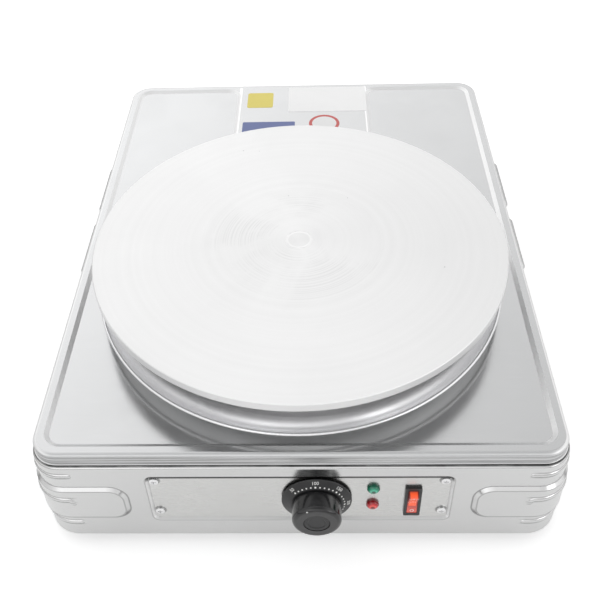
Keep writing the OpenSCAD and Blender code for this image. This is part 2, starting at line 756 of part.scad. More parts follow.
module griddle_plate() color("silver") at_griddle() difference() {
    rotate_extrude($fn = 180) polygon([
        [0, plate_under], [plate_r - 1, plate_under], [plate_r, plate_under + 1],
        [plate_r, plate_top - 0.8], [plate_r - 0.8, plate_top], [0, plate_top]
    ]);
    translate([0, 0, plate_top - 0.3]) difference() {
        cylinder(h = 1, r = 13);
        translate([0, 0, -1]) cylinder(h = 3, r = 12.4);
    }
    at_posts() translate([0, 0, plate_under - 1]) cylinder(h = stud_depth + 1.4, r = stud_r + 0.1);
    at_straps() translate([strap_mid, 0, plate_under - 1])
        cylinder(h = stud_depth + 0.4, r = screw_r + 0.6);
}

module at_posts()
    for (x = [-1, 1], y = [-1, 1]) translate([x * post_pitch, y * post_pitch, 0]) children();
module at_straps() for (a = strap_angles) rotate([0, 0, a]) children();

// Dish: a flat floor, a wall that curves up and out, and a lip rolled over a wire.
module drip_dish() color("gainsboro") at_griddle() {
    run = dish_r - dish_bead_r - dish_floor_r;
    rise = dish_rise - dish_bead_r;
    turn = 2 * atan(rise / run);
    wall_r = run / sin(turn);
    translate([0, 0, dish_z + 0.1]) rotate_extrude($fn = 180) {
        translate([dish_hole_r - 2, 0]) square([dish_floor_r - dish_hole_r + 2, sheet]);
        translate([dish_hole_r - 2, 0]) square([sheet, 9]);
        translate([dish_floor_r, wall_r]) intersection() {
            difference() {
                circle(wall_r);
                circle(wall_r - sheet);
            }
            polygon([
                [-e, 0], [-e, -2 * wall_r],
                [2 * wall_r * tan(turn / 2), -2 * wall_r], [2 * wall_r * sin(turn), -2 * wall_r * cos(turn)]
            ]);
        }
        translate([dish_r - dish_bead_r, rise]) circle(dish_bead_r, $fn = 32);
    }
}

module heat_shield() color("lightgray") at_griddle() difference() {
    translate([0, 0, rail_top]) difference() {
        cylinder(h = plate_under - 2 - rail_top, r = shield_r, $fn = 180);
        translate([0, 0, shield_t])
            cylinder(h = plate_top - rail_top, r = shield_r - shield_t, $fn = 180);
    }
    at_posts() translate([0, 0, rail_top - 1]) cylinder(h = 5, r = stud_r + screw_fit);
    element_legs(element_r + 1.2);
    capillary_hole();
}

module capillary_hole()
    translate([bulb_x[1] + capillary_bend, bulb_y - plate_y, rail_top - 1])
        cylinder(h = plate_rise + 90, r = capillary_r + 1.5);

module insulation_disc() color("ivory") at_griddle() difference() {
    translate([0, 0, rail_top + shield_t]) cylinder(h = insulation_t, r = shield_r - shield_t - fit);
    at_posts() translate([0, 0, rail_top]) cylinder(h = insulation_t + 9, r = post_r + fit);
    element_legs(element_r + 1.2);
    capillary_hole();
}

// Half the angle that a ring of this radius leaves open for its two ends.
function ring_gap(ring) = element_gap * outer_ring_d / 2 / ring;
leg_low = rail_top - 6;

// Puts a shape at each end of a ring: x outwards, y on into the gap between the ends.
module at_ring_ends(ring) {
    rotate([0, 0, 90 - ring_gap(ring)]) translate([ring, 0, 0]) children();
    rotate([0, 0, 90 + ring_gap(ring)]) translate([ring, 0, 0]) mirror([0, 1, 0]) children();
}

module element_legs(r)
    for (ring = [outer_ring_d / 2, inner_ring_d / 2])
        at_ring_ends(ring) translate([0, element_bend, leg_low])
            cylinder(h = element_z - element_bend - leg_low, r = r);

module heating_element(ring) color("dimgray") at_griddle() {
    translate([0, 0, element_z]) rotate([0, 0, 90 + ring_gap(ring)])
        rotate_extrude(angle = 360 - 2 * ring_gap(ring), $fn = 180)
            translate([ring, 0]) rotate(90) circle(element_r, $fn = 32);
    at_ring_ends(ring) {
        translate([0, 0, element_z - element_bend]) rotate([0, -90, 0])
            rotate_extrude(angle = 90, $fn = 64) translate([element_bend, 0])
                circle(element_r, $fn = 32);
        translate([0, element_bend, leg_low])
            cylinder(h = element_z - element_bend - leg_low, r = element_r, $fn = 32);
        translate([0, -0.3, element_z]) rotate([-90, 0, 0])
            cylinder(h = 0.6, r = element_r - 0.02, $fn = 32);
    }
}

module element_terminals() color("ivory") at_griddle()
    for (ring = [outer_ring_d / 2, inner_ring_d / 2])
        at_ring_ends(ring) translate([0, element_bend, leg_low]) {
            translate([0, 0, -8]) cylinder(h = 8, r = element_r - 0.6, $fn = 32);
            translate([0, 0, -20]) cylinder(h = 12 + e, r = 1.8, $fn = 32);
        }

module element_clamps() color("silver") at_griddle() at_straps() {
    difference() {
        translate([inner_ring_d / 2 - 12, -strap_w / 2, strap_z])
            cube([(outer_ring_d - inner_ring_d) / 2 + 24, strap_w, strap_t]);
        translate([strap_mid, 0, strap_z - 1]) cylinder(h = 6, r = screw_r + 0.5 + screw_fit);
    }
}

module clamp_studs() color("silver") at_griddle() at_straps() translate([strap_mid, 0, 0]) {
    translate([0, 0, strap_z - 7])
        cylinder(h = plate_under + stud_depth - 1 - strap_z + 7, r = screw_r + 0.5);
    translate([0, 0, strap_z - 4]) hex(5, 4);
}

module plate_posts() color("silver") at_griddle() at_posts() {
    translate([0, 0, rail_top + shield_t]) cylinder(h = plate_under - rail_top - shield_t, r = post_r);
    translate([0, 0, plate_under - e]) cylinder(h = stud_depth, r = stud_r);
    translate([0, 0, rail_top - 12]) cylinder(h = 13 + shield_t, r = stud_r);
}

module post_nuts() color("silver") at_griddle() at_posts()
    translate([0, 0, rail_top - rail_t - 6.5]) difference() {
        hex(7.4, 6.5);
        translate([0, 0, -1]) cylinder(h = 9, r = stud_r + thread_fit);
    }

// Two channel rails between the side walls carry the griddle's posts.
module support_rails() color("lightgray") on_body() for (y = [-1, 1])
    translate([0, plate_y + y * post_pitch, rail_top]) difference() {
        rotate([90, 0, 90]) linear_extrude(2 * rail_half, center = true) {
            translate([-rail_w / 2, -rail_t]) square([rail_w, rail_t]);
            for (s = [-1, 1]) translate([s * (rail_w - rail_t) / 2 - rail_t / 2, -rail_h])
                square([rail_t, rail_h]);
        }
        for (x = [-1, 1]) translate([x * post_pitch, 0, -3]) cylinder(h = 5, r = stud_r + screw_fit);
    }

// ---- mains inlet ----

terminal_x = gland_x - 20;
terminal_y = half_d - 109;
terminal_pitch = 33;
clamp_r = 2.1;

module at_clamps() for (x = [-20, 0, 20]) translate([x, 0, 0]) children();

module terminal_block() color("ivory") on_body() translate([terminal_x, terminal_y, floor_z])
    difference() {
        union() {
            slab(2 * terminal_pitch + 10, 24, 2, 8);
            at_clamps() translate([0, 0, 7]) slab(15, 20, 1.5, 13);
        }
        at_clamps() translate([0, 0, 13]) {
            rotate([90, 0, 0]) cylinder(h = 40, r = 2.6, center = true);
            cylinder(h = 20, r = clamp_r + screw_fit);
        }
        for (x = [-1, 1]) translate([x * terminal_pitch, 0, -1])
            cylinder(h = 10, r = screw_r + screw_fit);
    }

module terminal_screws() color("silver") on_body()
    translate([terminal_x, terminal_y, floor_z]) {
        at_clamps() translate([0, 0, 15.8]) cylinder(h = 3.6, r = clamp_r);
        for (x = [-1, 1]) translate([x * terminal_pitch, 0, 8]) pan_screw(screw_r, 11, 3.6, 2.2);
    }

module gland_body() color("black") on_body() on_rear(gland_x, gland_z) difference() {
    union() {
        translate([0, 0, -9]) cylinder(h = 9.5, r = gland_thread_r);
        hex(gland_flange_r, 5);
        cylinder(h = 13, r = gland_thread_r);
    }
    translate([0, 0, -10]) cylinder(h = 30, r = gland_bore_r + 1.1);
}

module gland_nut() color("black") on_body() on_rear(gland_x, gland_z) difference() {
    union() {
        translate([0, 0, 5.3]) hex(gland_flange_r - 0.4, 9);
        translate([0, 0, 14]) cylinder(h = gland_out - 14, r1 = 11, r2 = gland_end_r);
    }
    translate([0, 0, 4]) cylinder(h = 9.2, r = gland_thread_r + 0.1);
    translate([0, 0, 4]) cylinder(h = 30, r = gland_bore_r + 1.2);
}

module gland_seal() color("dimgray") on_body() on_rear(gland_x, gland_z) difference() {
    translate([0, 0, seal_in]) cylinder(h = gland_out - 3 - seal_in, r = gland_bore_r + 1);
    cylinder(h = gland_out, r = gland_bore_r);
}

module gland_locknut() color("black") on_body() on_rear(gland_x, gland_z)
    translate([0, 0, -sheet - 4.5]) difference() {
        hex(12.5, 4.4);
        translate([0, 0, -1]) cylinder(h = 7, r = gland_thread_r + thread_fit);
    }

casing();
top_cover();
base_plate();
base_screws();
cover_screws();
foot(-1, -1);  // foot_front_left
foot(1, -1);  // foot_front_right
foot(-1, 1);  // foot_rear_left
foot(1, 1);  // foot_rear_right
foot_screws();
foot_nuts();
control_panel();
panel_screws();
dial_ring();
knob();
knob_insert();
thermostat_shaft();
thermostat_body();
thermostat_screws();
capillary_tube();
sensor_bulb();
bulb_clips();
lamp_lens("seagreen", 1);  // green_lamp_lens
lamp_body(1);  // green_lamp_body
lamp_lens("crimson", -1);  // red_lamp_lens
lamp_body(-1);  // red_lamp_body
switch_housing();
switch_rocker();
switch_terminals();
griddle_plate();
drip_dish();
heat_shield();
insulation_disc();
heating_element(outer_ring_d / 2);  // heating_element_outer
heating_element(inner_ring_d / 2);  // heating_element_inner
element_terminals();
element_clamps();
clamp_studs();
plate_posts();
post_nuts();
support_rails();
terminal_block();
terminal_screws();
gland_body();
gland_nut();
gland_seal();
gland_locknut();
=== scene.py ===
# %% [markdown]
# # An electric crepe maker, dressed for a studio picture
# The shapes of the machine come ready made: a stamped steel box, a pressed cover, a turned griddle
# plate, a spun dish and the controls. This lesson gives each of them its finish and adds what is
# printed or stuck on. Sizes are in metres, the front of the machine looks along -y, and z points up.

# %% Load the machine
import json
import math

import bmesh
import bpy
from mathutils import Matrix, Vector


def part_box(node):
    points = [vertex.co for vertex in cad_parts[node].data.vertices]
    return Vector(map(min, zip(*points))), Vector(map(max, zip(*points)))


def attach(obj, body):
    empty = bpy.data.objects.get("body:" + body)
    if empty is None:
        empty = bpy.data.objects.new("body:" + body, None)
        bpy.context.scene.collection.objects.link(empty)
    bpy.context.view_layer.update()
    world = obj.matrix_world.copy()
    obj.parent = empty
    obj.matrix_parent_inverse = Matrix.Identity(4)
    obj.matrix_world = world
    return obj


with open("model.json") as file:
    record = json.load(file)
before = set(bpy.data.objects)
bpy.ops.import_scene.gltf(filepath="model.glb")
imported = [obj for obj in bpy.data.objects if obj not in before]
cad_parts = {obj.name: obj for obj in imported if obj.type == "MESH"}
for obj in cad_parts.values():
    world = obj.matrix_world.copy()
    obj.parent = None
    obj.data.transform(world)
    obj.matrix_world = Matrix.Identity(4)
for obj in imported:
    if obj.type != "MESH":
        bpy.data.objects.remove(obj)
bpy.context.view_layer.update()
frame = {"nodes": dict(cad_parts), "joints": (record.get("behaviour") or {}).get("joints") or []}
nodes = frame["nodes"]

# %% [markdown]
# The looks are placed from a few sizes of the machine: the centre of the griddle, the top of the
# cover, the face of the control panel, and the axis of the knob. They are read from the pieces
# themselves, so that nothing drifts when those move. The walls lean out a little towards the bottom,
# so the panel has its own three directions: across, up along the wall and out.

# %% Read the places that the looks need
def box(name):
    low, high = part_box(name)
    return Vector(low), Vector(high)


def middle(name):
    low, high = box(name)
    return (low + high) / 2


def joint_of(body):
    return [joint for joint in frame["joints"] if joint["child"] == body][0]


def reach(name, way):
    """How far a piece reaches along a way."""
    return max(vertex.co.dot(way) for vertex in nodes[name].data.vertices)


griddle_mid = middle("griddle_plate")
cover_top = box("top_cover")[1].z
knob_joint = joint_of("thermostat_knob")
dial_axis = Vector(knob_joint["pos_m"])
panel_out = -Vector(knob_joint["axis"]).normalized()
panel_across = Vector((1, 0, 0))
panel_up = panel_out.cross(panel_across)
panel_face = reach("control_panel", panel_out)
ring_front = reach("dial_ring", panel_out)
knob_front = reach("knob", panel_out)
lean = math.degrees(math.atan2(panel_out.z, -panel_out.y))
print("the panel leans by", round(lean, 2), "degrees")
print("the knob stands out of it by", round(knob_front - panel_face, 4))

# %% [markdown]
# ## Camera
# The camera stands in front of the machine and looks down on it by 44 degrees. It is aimed with three
# vectors: the way forward, and the picture's right and up, turned a little by the roll. A camera's
# own axes are right, up and backwards, so those three make up its matrix. The focal length is known
# in pixels of a picture 600 pixels wide, and Blender wants it in millimetres of a film 36 mm wide.

# %% Place the camera
def put_in_scene(name, data):
    thing = bpy.data.objects.new(name, data)
    bpy.context.scene.collection.objects.link(thing)
    return thing


def standing(place, across, along, out):
    """A matrix that carries the axes x, y and z to three directions at a place."""
    return Matrix.Translation(place) @ Matrix((across, along, out)).transposed().to_4x4()


pitch, yaw, roll = math.radians(44.01), math.radians(-2.45), math.radians(-2.28)
camera_place = (0.01825, -0.68032, 0.70382)
film_width, picture_width = 36, 600
focal_length, shift_right, shift_up = 808.2, 6.7, -20
forward = Vector((math.sin(yaw) * math.cos(pitch), math.cos(yaw) * math.cos(pitch), -math.sin(pitch)))
level = Vector((math.cos(yaw), -math.sin(yaw), 0))
lift = level.cross(forward)
picture_right = level * math.cos(roll) + lift * math.sin(roll)
picture_up = -level * math.sin(roll) + lift * math.cos(roll)
camera = put_in_scene("camera", bpy.data.cameras.new("camera"))
camera.matrix_world = standing(camera_place, picture_right, picture_up, -forward)
camera.data.lens = film_width * focal_length / picture_width
camera.data.shift_x = shift_right / picture_width
camera.data.shift_y = shift_up / picture_width
camera.data.clip_start = 0.01
bpy.context.scene.camera = camera
print("lens", round(camera.data.lens, 2), "mm")

# %% [markdown]
# ## Helpers for materials
# A material here is a Principled shader with a few nodes in front of it. These helpers add a node,
# join two sockets and set plain values, which keeps each recipe down to the lines that matter.

# %% Nodes, links and materials
def add(tree, kind, **values):
    node = tree.nodes.new(kind)
    for key, value in values.items():
        if hasattr(node, key):
            setattr(node, key, value)
        else:
            node.inputs[key.replace("_", " ")].default_value = value
    return node


def join(tree, source, target):
    tree.links.new(source, target)


def feed(tree, value, target):
    """Join a socket to the target, or set the target to a plain number."""
    if hasattr(value, "is_output"):
        join(tree, value, target)
    else:
        target.default_value = value


def new_material(name, **values):
    material = bpy.data.materials.new(name)
    material.use_nodes = True
    shader = material.node_tree.nodes["Principled BSDF"]
    for key, value in values.items():
        plain = (*value, 1) if isinstance(value, tuple) else value
        shader.inputs[key.replace("_", " ")].default_value = plain
    return material, material.node_tree, shader


print("helpers for nodes, links and materials ready")

# %% [markdown]
# Colour, gloss and bump all start from where a point is on the piece, or from the way its face
# points. Plain arithmetic on those numbers makes masks, from 0 to 1, and a mask says where a colour
# goes. Object coordinates are used throughout, so a pattern stays on its piece when the piece moves.

# %% Places and directions
def coordinates(tree, centre=(0, 0, 0), scale=(1, 1, 1)):
    source = add(tree, "ShaderNodeTexCoord").outputs["Object"]
    mapping = add(tree, "ShaderNodeMapping")
    mapping.inputs["Location"].default_value = [-c * s for c, s in zip(centre, scale)]
    mapping.inputs["Scale"].default_value = scale
    join(tree, source, mapping.inputs["Vector"])
    return mapping.outputs["Vector"]


def parts_of(tree, vector):
    """The x, y and z of a vector."""
    split = add(tree, "ShaderNodeSeparateXYZ")
    join(tree, vector, split.inputs[0])
    return [split.outputs[axis] for axis in "XYZ"]


def face_way(tree):
    """The x, y and z of the way that a face points."""
    return parts_of(tree, add(tree, "ShaderNodeNewGeometry").outputs["Normal"])


def stretched(tree, vector, amounts):
    node = add(tree, "ShaderNodeVectorMath", operation="MULTIPLY")
    join(tree, vector, node.inputs[0])
    node.inputs[1].default_value = amounts
    return node.outputs[0]


def length_of(tree, vector):
    node = add(tree, "ShaderNodeVectorMath", operation="LENGTH")
    join(tree, vector, node.inputs[0])
    return node.outputs["Value"]


print("helpers for places and directions ready")

# %% Arithmetic and masks
def maths(tree, operation, *values):
    node = add(tree, "ShaderNodeMath", operation=operation)
    for value, socket in zip(values, node.inputs):
        feed(tree, value, socket)
    return node.outputs[0]


def plus(tree, first, second):
    return maths(tree, "ADD", first, second)


def minus(tree, first, second):
    return maths(tree, "SUBTRACT", first, second)


def times(tree, first, *others):
    for other in others:
        first = maths(tree, "MULTIPLY", first, other)
    return first


def size(tree, value):
    """How large a value is, whatever its sign."""
    return maths(tree, "ABSOLUTE", value)


def scaled(tree, source, low, high, out_low=0, out_high=1):
    """Carry the range from low to high over to another range, and hold it at the ends."""
    node = add(tree, "ShaderNodeMapRange")
    for name, value in (("From Min", low), ("From Max", high), ("To Min", out_low), ("To Max", out_high)):
        node.inputs[name].default_value = value
    join(tree, source, node.inputs["Value"])
    return node.outputs["Result"]


print("helpers for arithmetic and masks ready")

# %% Colours, noise and bump
def grey(value):
    return (value, value, value)


def shaded(colour, part):
    return [channel * part for channel in colour]


def ramp(tree, source, stops):
    node = add(tree, "ShaderNodeValToRGB")
    elements = node.color_ramp.elements
    while len(elements) < len(stops):
        elements.new(0.5)
    for element, (place, colour) in zip(elements, stops):
        element.position = place
        element.color = (*colour, 1)
    join(tree, source, node.inputs["Fac"])
    return node.outputs["Color"]


def mix(tree, factor, first, second, blend="MIX"):
    node = add(tree, "ShaderNodeMix", data_type="RGBA", blend_type=blend)
    feed(tree, factor, node.inputs["Factor"])
    colours = [socket for socket in node.inputs if socket.type == "RGBA"]
    for value, socket in zip((first, second), colours):
        feed(tree, value if hasattr(value, "is_output") else (*value, 1), socket)
    return [socket for socket in node.outputs if socket.type == "RGBA"][0]


def noise(tree, vector, scale, detail=4.0, rough=0.5, distortion=0.0):
    node = add(tree, "ShaderNodeTexNoise", Detail=detail, Roughness=rough, Distortion=distortion)
    join(tree, vector, node.inputs["Vector"])
    feed(tree, scale, node.inputs["Scale"])
    return node.outputs["Fac"]


def bump(tree, shader, height, strength, distance):
    node = add(tree, "ShaderNodeBump", Strength=strength, Distance=distance)
    join(tree, height, node.inputs["Height"])
    join(tree, node.outputs["Normal"], shader.inputs["Normal"])


print("helpers for colours, noise and bump ready")

# %% [markdown]
# ## Shared effects
# Rolled sheet, handling marks, moulded plastic and lathe marks come back on many pieces. Each one is
# a node group with named sockets: it gives a height for the bump or a mask for colour and gloss, and
# every material sets its own amounts.

# %% Start a node group, and place one in a material
def group(name, inputs, outputs):
    tree = bpy.data.node_groups.new(name, "ShaderNodeTree")
    tree.interface.new_socket("Vector", in_out="INPUT", socket_type="NodeSocketVector")
    for label, value in inputs:
        socket = tree.interface.new_socket(label, in_out="INPUT", socket_type="NodeSocketFloat")
        socket.default_value = value
    for label in outputs:
        tree.interface.new_socket(label, in_out="OUTPUT", socket_type="NodeSocketFloat")
    return tree, add(tree, "NodeGroupInput").outputs, add(tree, "NodeGroupOutput").inputs


def use_group(tree, name, vector, **values):
    node = add(tree, "ShaderNodeGroup", node_tree=bpy.data.node_groups[name])
    join(tree, vector, node.inputs["Vector"])
    for key, value in values.items():
        node.inputs[key].default_value = value
    return node.outputs


print("helpers for node groups ready")

# %% [markdown]
# Sheet steel is rolled, which leaves a fine grain along one way, and pressing leaves it slightly
# wavy. Noise that is stretched along x gives the grain, and slow noise the waves.

# %% Rolled sheet
tree, given, result = group("rolled_sheet", [("Grain", 1400.0), ("Wave", 9.0)], ["Grain", "Height"])
fine = noise(tree, stretched(tree, given["Vector"], (0.02, 1, 1)), given["Grain"], 3.0, 0.6)
slow = noise(tree, given["Vector"], given["Wave"], 1.0, 0.4)
join(tree, fine, result["Grain"])
join(tree, maths(tree, "MULTIPLY_ADD", fine, 0.02, slow), result["Height"])
print("rolled sheet:", len(tree.nodes), "nodes")

# %% [markdown]
# Hands leave soft smudges, and wiping leaves hair-thin scratches. The smudges are cloudy noise. The
# scratches are the borders between the cells of a Voronoi texture, drawn out along y.

# %% Handling
tree, given, result = group(
    "handling", [("Smudge size", 14.0), ("Scratch size", 90.0)], ["Smudge", "Scratch"]
)
cloud = noise(tree, given["Vector"], given["Smudge size"], 6.0, 0.62, 0.4)
join(tree, scaled(tree, cloud, 0.4, 0.7), result["Smudge"])
hair = add(tree, "ShaderNodeTexVoronoi", feature="DISTANCE_TO_EDGE")
join(tree, stretched(tree, given["Vector"], (1, 0.16, 0.5)), hair.inputs["Vector"])
join(tree, given["Scratch size"], hair.inputs["Scale"])
join(tree, scaled(tree, hair.outputs["Distance"], 0.0, 0.012, 1, 0), result["Scratch"])
print("handling:", len(tree.nodes), "nodes")

# %% [markdown]
# A lathe's tool leaves rings round the axis of the piece. Noise in one dimension, read at the
# distance from the axis, gives rings that are a little uneven, as real ones are.

# %% Turning
tree, given, result = group("turning", [("Fine", 2600.0), ("Coarse", 160.0)], ["Fine", "Coarse", "Patches"])
from_axis = length_of(tree, stretched(tree, given["Vector"], (1, 1, 0)))
for label in ("Fine", "Coarse"):
    rings = add(tree, "ShaderNodeTexNoise", noise_dimensions="1D", Scale=1.0, Detail=3.0, Roughness=0.55)
    join(tree, times(tree, from_axis, given[label]), rings.inputs["W"])
    join(tree, rings.outputs["Fac"], result[label])
join(tree, noise(tree, given["Vector"], 11.0, 5.0, 0.6, 0.6), result["Patches"])
print("turning:", len(tree.nodes), "nodes")

# %% [markdown]
# A moulding has a fine even grain from its mould, and it attracts a few specks of dust.

# %% Moulded plastic
tree, given, result = group("moulded", [("Grain", 2400.0)], ["Height", "Dust"])
join(tree, noise(tree, given["Vector"], given["Grain"], 2.0, 0.5), result["Height"])
join(tree, scaled(tree, noise(tree, given["Vector"], 500.0, 3.0, 0.7), 0.62, 0.8), result["Dust"])
print("groups:", ", ".join(effect.name for effect in bpy.data.node_groups))

# %% [markdown]
# ## Stainless steel
# The box and its cover are bright stainless sheet. Its surface is almost a mirror that is blurred by
# the rolling grain, so the shader is fully metallic with a low roughness. The slow waviness of a
# pressed panel bends the reflections, and smudges change the gloss from place to place. The cover is
# duller wherever it isn't flat, because the sheet was drawn over the tool there.

# %% Stainless sheet
def stainless(name, colour, gloss, wave_depth, wave=9.0, grain_scale=1, drawn=0.0):
    material, tree, shader = new_material(name, Metallic=1.0)
    sheet = use_group(tree, "rolled_sheet", coordinates(tree, scale=[grain_scale] * 3), Wave=wave)
    marks = use_group(tree, "handling", coordinates(tree))
    tone = ramp(tree, sheet["Grain"], [(0.3, shaded(colour, 0.97)), (0.7, colour)])
    tone = mix(tree, times(tree, marks["Smudge"], 0.25), tone, shaded(colour, 0.9))
    join(tree, tone, shader.inputs["Base Color"])
    rough = scaled(tree, sheet["Grain"], 0.3, 0.7, gloss * 0.9, gloss * 1.12)
    rough = plus(tree, rough, times(tree, marks["Smudge"], 0.05))
    rough = plus(tree, rough, times(tree, marks["Scratch"], 0.012))
    if drawn:
        rough = plus(tree, rough, scaled(tree, face_way(tree)[2], 0.999, 0.93, 0, drawn))
    join(tree, rough, shader.inputs["Roughness"])
    bump(tree, shader, sheet["Height"], 0.35, wave_depth)
    return material


casing_steel = stainless("casing_steel", (0.70, 0.702, 0.70), 0.16, 0.001)
cover_steel = stainless("cover_steel", (0.70, 0.705, 0.71), 0.16, 0.001, wave=6.0, drawn=0.3)
panel_steel = stainless("panel_steel", (0.70, 0.70, 0.69), 0.26, 0.0002)
print("stainless sheet:", casing_steel.name, cover_steel.name, panel_steel.name)

# %% [markdown]
# ## Painted light along the pressings
# Where the tools bend the sheet, a painted highlight runs along the crest and painted shade along
# the hollow at the foot of the bend. The lines follow the outlines of the pockets and of the panel's
# window. Lines of geometry would be far too thin, so each outline is worked out as a distance along
# the wall, nought on the outline and less inside it, and a strip of that distance is the mask.

# %% Helpers for lines and for what is laid over a finish
def facing_up(tree, low, high):
    """A mask from how far a face points upwards: 0 at low and 1 at high."""
    return scaled(tree, face_way(tree)[2], low, high)


def at_least_nought(tree, value):
    return maths(tree, "MAXIMUM", value, 0.0)


def hypotenuse(tree, first, second):
    squares = [maths(tree, "POWER", side, 2.0) for side in (first, second)]
    return maths(tree, "SQRT", plus(tree, *squares))


def outline(tree, past_side, past_level, corner):
    """The distance from a rounded outline, out of how far a point is past its straight middle."""
    sides = [at_least_nought(tree, past) for past in (past_side, past_level)]
    return minus(tree, hypotenuse(tree, *sides), corner)


def strip(tree, distance, low, high, soft=0.0004):
    rise = scaled(tree, distance, low - soft, low + soft)
    return times(tree, rise, scaled(tree, distance, high - soft, high + soft, 1, 0))


def lay_over(tree, mask, colour, strength=1.0):
    """Lay a colour over a material's own, as strongly as the mask says."""
    target = tree.nodes["Principled BSDF"].inputs["Base Color"]
    below = target.links[0].from_socket
    join(tree, mix(tree, times(tree, mask, strength), below, colour), target)


def roughen(tree, mask, amount):
    """Add to a material's roughness, as strongly as the mask says."""
    target = tree.nodes["Principled BSDF"].inputs["Roughness"]
    below = target.links[0].from_socket
    join(tree, plus(tree, below, times(tree, mask, amount)), target)


print("helpers for lines ready")

# %% Pockets and ridges at the corners of the casing
tree = casing_steel.node_tree
x, y, z = parts_of(tree, coordinates(tree))
wide, deep = size(tree, x), size(tree, y)

pocket_level, pocket_straight, pocket_r = 0.0645, 0.006, 0.017
pocket_end_in_front, pocket_end_at_side = 0.169, 0.236
to_end = maths(tree, "MAXIMUM", minus(tree, pocket_end_in_front, wide), minus(tree, pocket_end_at_side, deep))
from_level = minus(tree, size(tree, minus(tree, z, pocket_level)), pocket_straight)
pocket = outline(tree, to_end, from_level, pocket_r)
# A painted highlight on each pocket's slope, and painted shade in the hollows on either side of it
pocket_light_and_shade = (
    ("highlight on slope", -0.0029, -0.0005, 0.72, 0.5),
    ("shade outside", -0.0003, 0.0009, 0.20, 0.75),
    ("shade inside", -0.0042, -0.0031, 0.24, 0.6),
)
for _, low, high, tone, strength in pocket_light_and_shade:
    lay_over(tree, strip(tree, pocket, low, high), grey(tone), strength)

ridge_levels = (0.1035, 0.0715, 0.0335)
foot_low, foot_high, foot_soft = 0.0022, 0.0038, 0.0008
at_corner = times(tree, scaled(tree, wide, 0.196, 0.203), scaled(tree, deep, 0.263, 0.270))
# Painted shade along the foot of each ridge at the corners
for ridge_level in ridge_levels:
    ridge_shade = strip(tree, size(tree, minus(tree, z, ridge_level)), foot_low, foot_high, foot_soft)
    lay_over(tree, times(tree, at_corner, ridge_shade), grey(0.22), 0.6)
print("round each pocket:", ", ".join(line[0] for line in pocket_light_and_shade))
print("painted shade along", len(ridge_levels), "ridges at each corner")

# %% [markdown]
# The panel sits in a window that is pressed into the front wall. The window's slope is a little
# rough and gets a painted highlight. Its upper edge hangs over like a brow, so painted shade darkens
# the top of the slope, painted shadow runs along the brow, and a thin rim of painted shade runs round
# the outside.

# %% The panel's window
window_level, window_r = 0.0695, 0.006
window_half_width, window_half_height = 0.133, 0.03225
past_side = minus(tree, wide, window_half_width - window_r)
past_level = minus(tree, size(tree, minus(tree, z, window_level)), window_half_height - window_r)
window = outline(tree, past_side, past_level, window_r)
in_front = scaled(tree, y, -0.290, -0.289, 1, 0)
slope = times(tree, strip(tree, window, -0.0024, 0.0002), in_front)
brow_shade_zone = scaled(tree, z, 0.094, 0.099)
painted_slope_highlight = times(tree, slope, minus(tree, 1.0, brow_shade_zone))
# Painted highlight on the open part of the window's slope, which is also made rougher
lay_over(tree, painted_slope_highlight, grey(0.88))
roughen(tree, painted_slope_highlight, 0.4)
# Painted shade on the top of the slope, under the brow
lay_over(tree, times(tree, slope, brow_shade_zone), grey(0.05))
rim = times(tree, strip(tree, window, 0.0004, 0.0014), in_front)
# Painted shade in a thin rim round the outside of the window
lay_over(tree, rim, grey(0.25), 0.5)
brow_shadow = times(tree, strip(tree, window, -0.0006, 0.0009), in_front)
# Painted shadow along the brow
lay_over(tree, times(tree, brow_shadow, scaled(tree, z, 0.098, 0.100, 0, 0.95)), grey(0.04))
print("window", 2 * window_half_width, "by", 2 * window_half_height, "lined")

# %% [markdown]
# The cover rests on a ledge of the casing, and the seam between the two gets a dark line that is
# partly dirt and partly painted shade. The ledge is the only part of the casing up there that points
# upwards, so the dark line needs no outline: it is a mask of direction and height, which noise makes a
# little uneven. The rounded bends below it get a painted highlight, and what points downwards gets
# painted shade.

# %% Painted shade and dirt in the seam, painted highlight on the bends, painted shade on undersides
seam_low, seam_high = 0.1120, 0.1130
waver = noise(tree, coordinates(tree, scale=(1, 1, 0.1)), 38.0, 3.0)
seam_shade_and_dirt = plus(tree, facing_up(tree, 0.80, 0.95), scaled(tree, waver, 0.35, 0.65, -0.3, 0.3))
seam_shade_and_dirt = at_least_nought(tree, times(tree, seam_shade_and_dirt, facing_up(tree, 0.55, 0.75)))
seam_shade_and_dirt = times(tree, seam_shade_and_dirt, scaled(tree, z, seam_low, seam_high))
bend_highlight = times(tree, facing_up(tree, 0.35, 0.6), minus(tree, 1.0, facing_up(tree, 0.80, 0.95)))
underside_shade = facing_up(tree, -0.06, -0.25)
# Painted highlight on the rounded bends
lay_over(tree, bend_highlight, grey(0.66))
# Dirt and painted shade in the seam under the cover
lay_over(tree, seam_shade_and_dirt, grey(0.10), 0.85)
# Painted shade on faces that point downwards
lay_over(tree, underside_shade, grey(0.2), 0.8)
print("casing finish:", len(tree.nodes), "nodes")

# %% [markdown]
# The panel lies under the window's brow, and painted shade darkens its upper edge. A ring of painted
# shade goes round the head of each of its four screws.

# %% Painted shade along the top of the panel and round its screws
tree = panel_steel.node_tree
x, _, z = parts_of(tree, coordinates(tree))
# Painted shade along the panel's upper edge, under the brow
lay_over(tree, scaled(tree, z, 0.0978, 0.0988, 0, 0.85), grey(0.08))
screw_side, screw_levels = 0.126, (0.0955, 0.0510)
ring_low, ring_high, ring_soft = 0.0036, 0.0054, 0.0006
for screw_level in screw_levels:
    from_screw = hypotenuse(tree, minus(tree, z, screw_level), minus(tree, size(tree, x), screw_side))
    # A ring of painted shade round each screw's head
    lay_over(tree, strip(tree, from_screw, ring_low, ring_high, ring_soft), grey(0.16), 0.7)
print("panel shaded, with rings round", 2 * len(screw_levels), "screws")

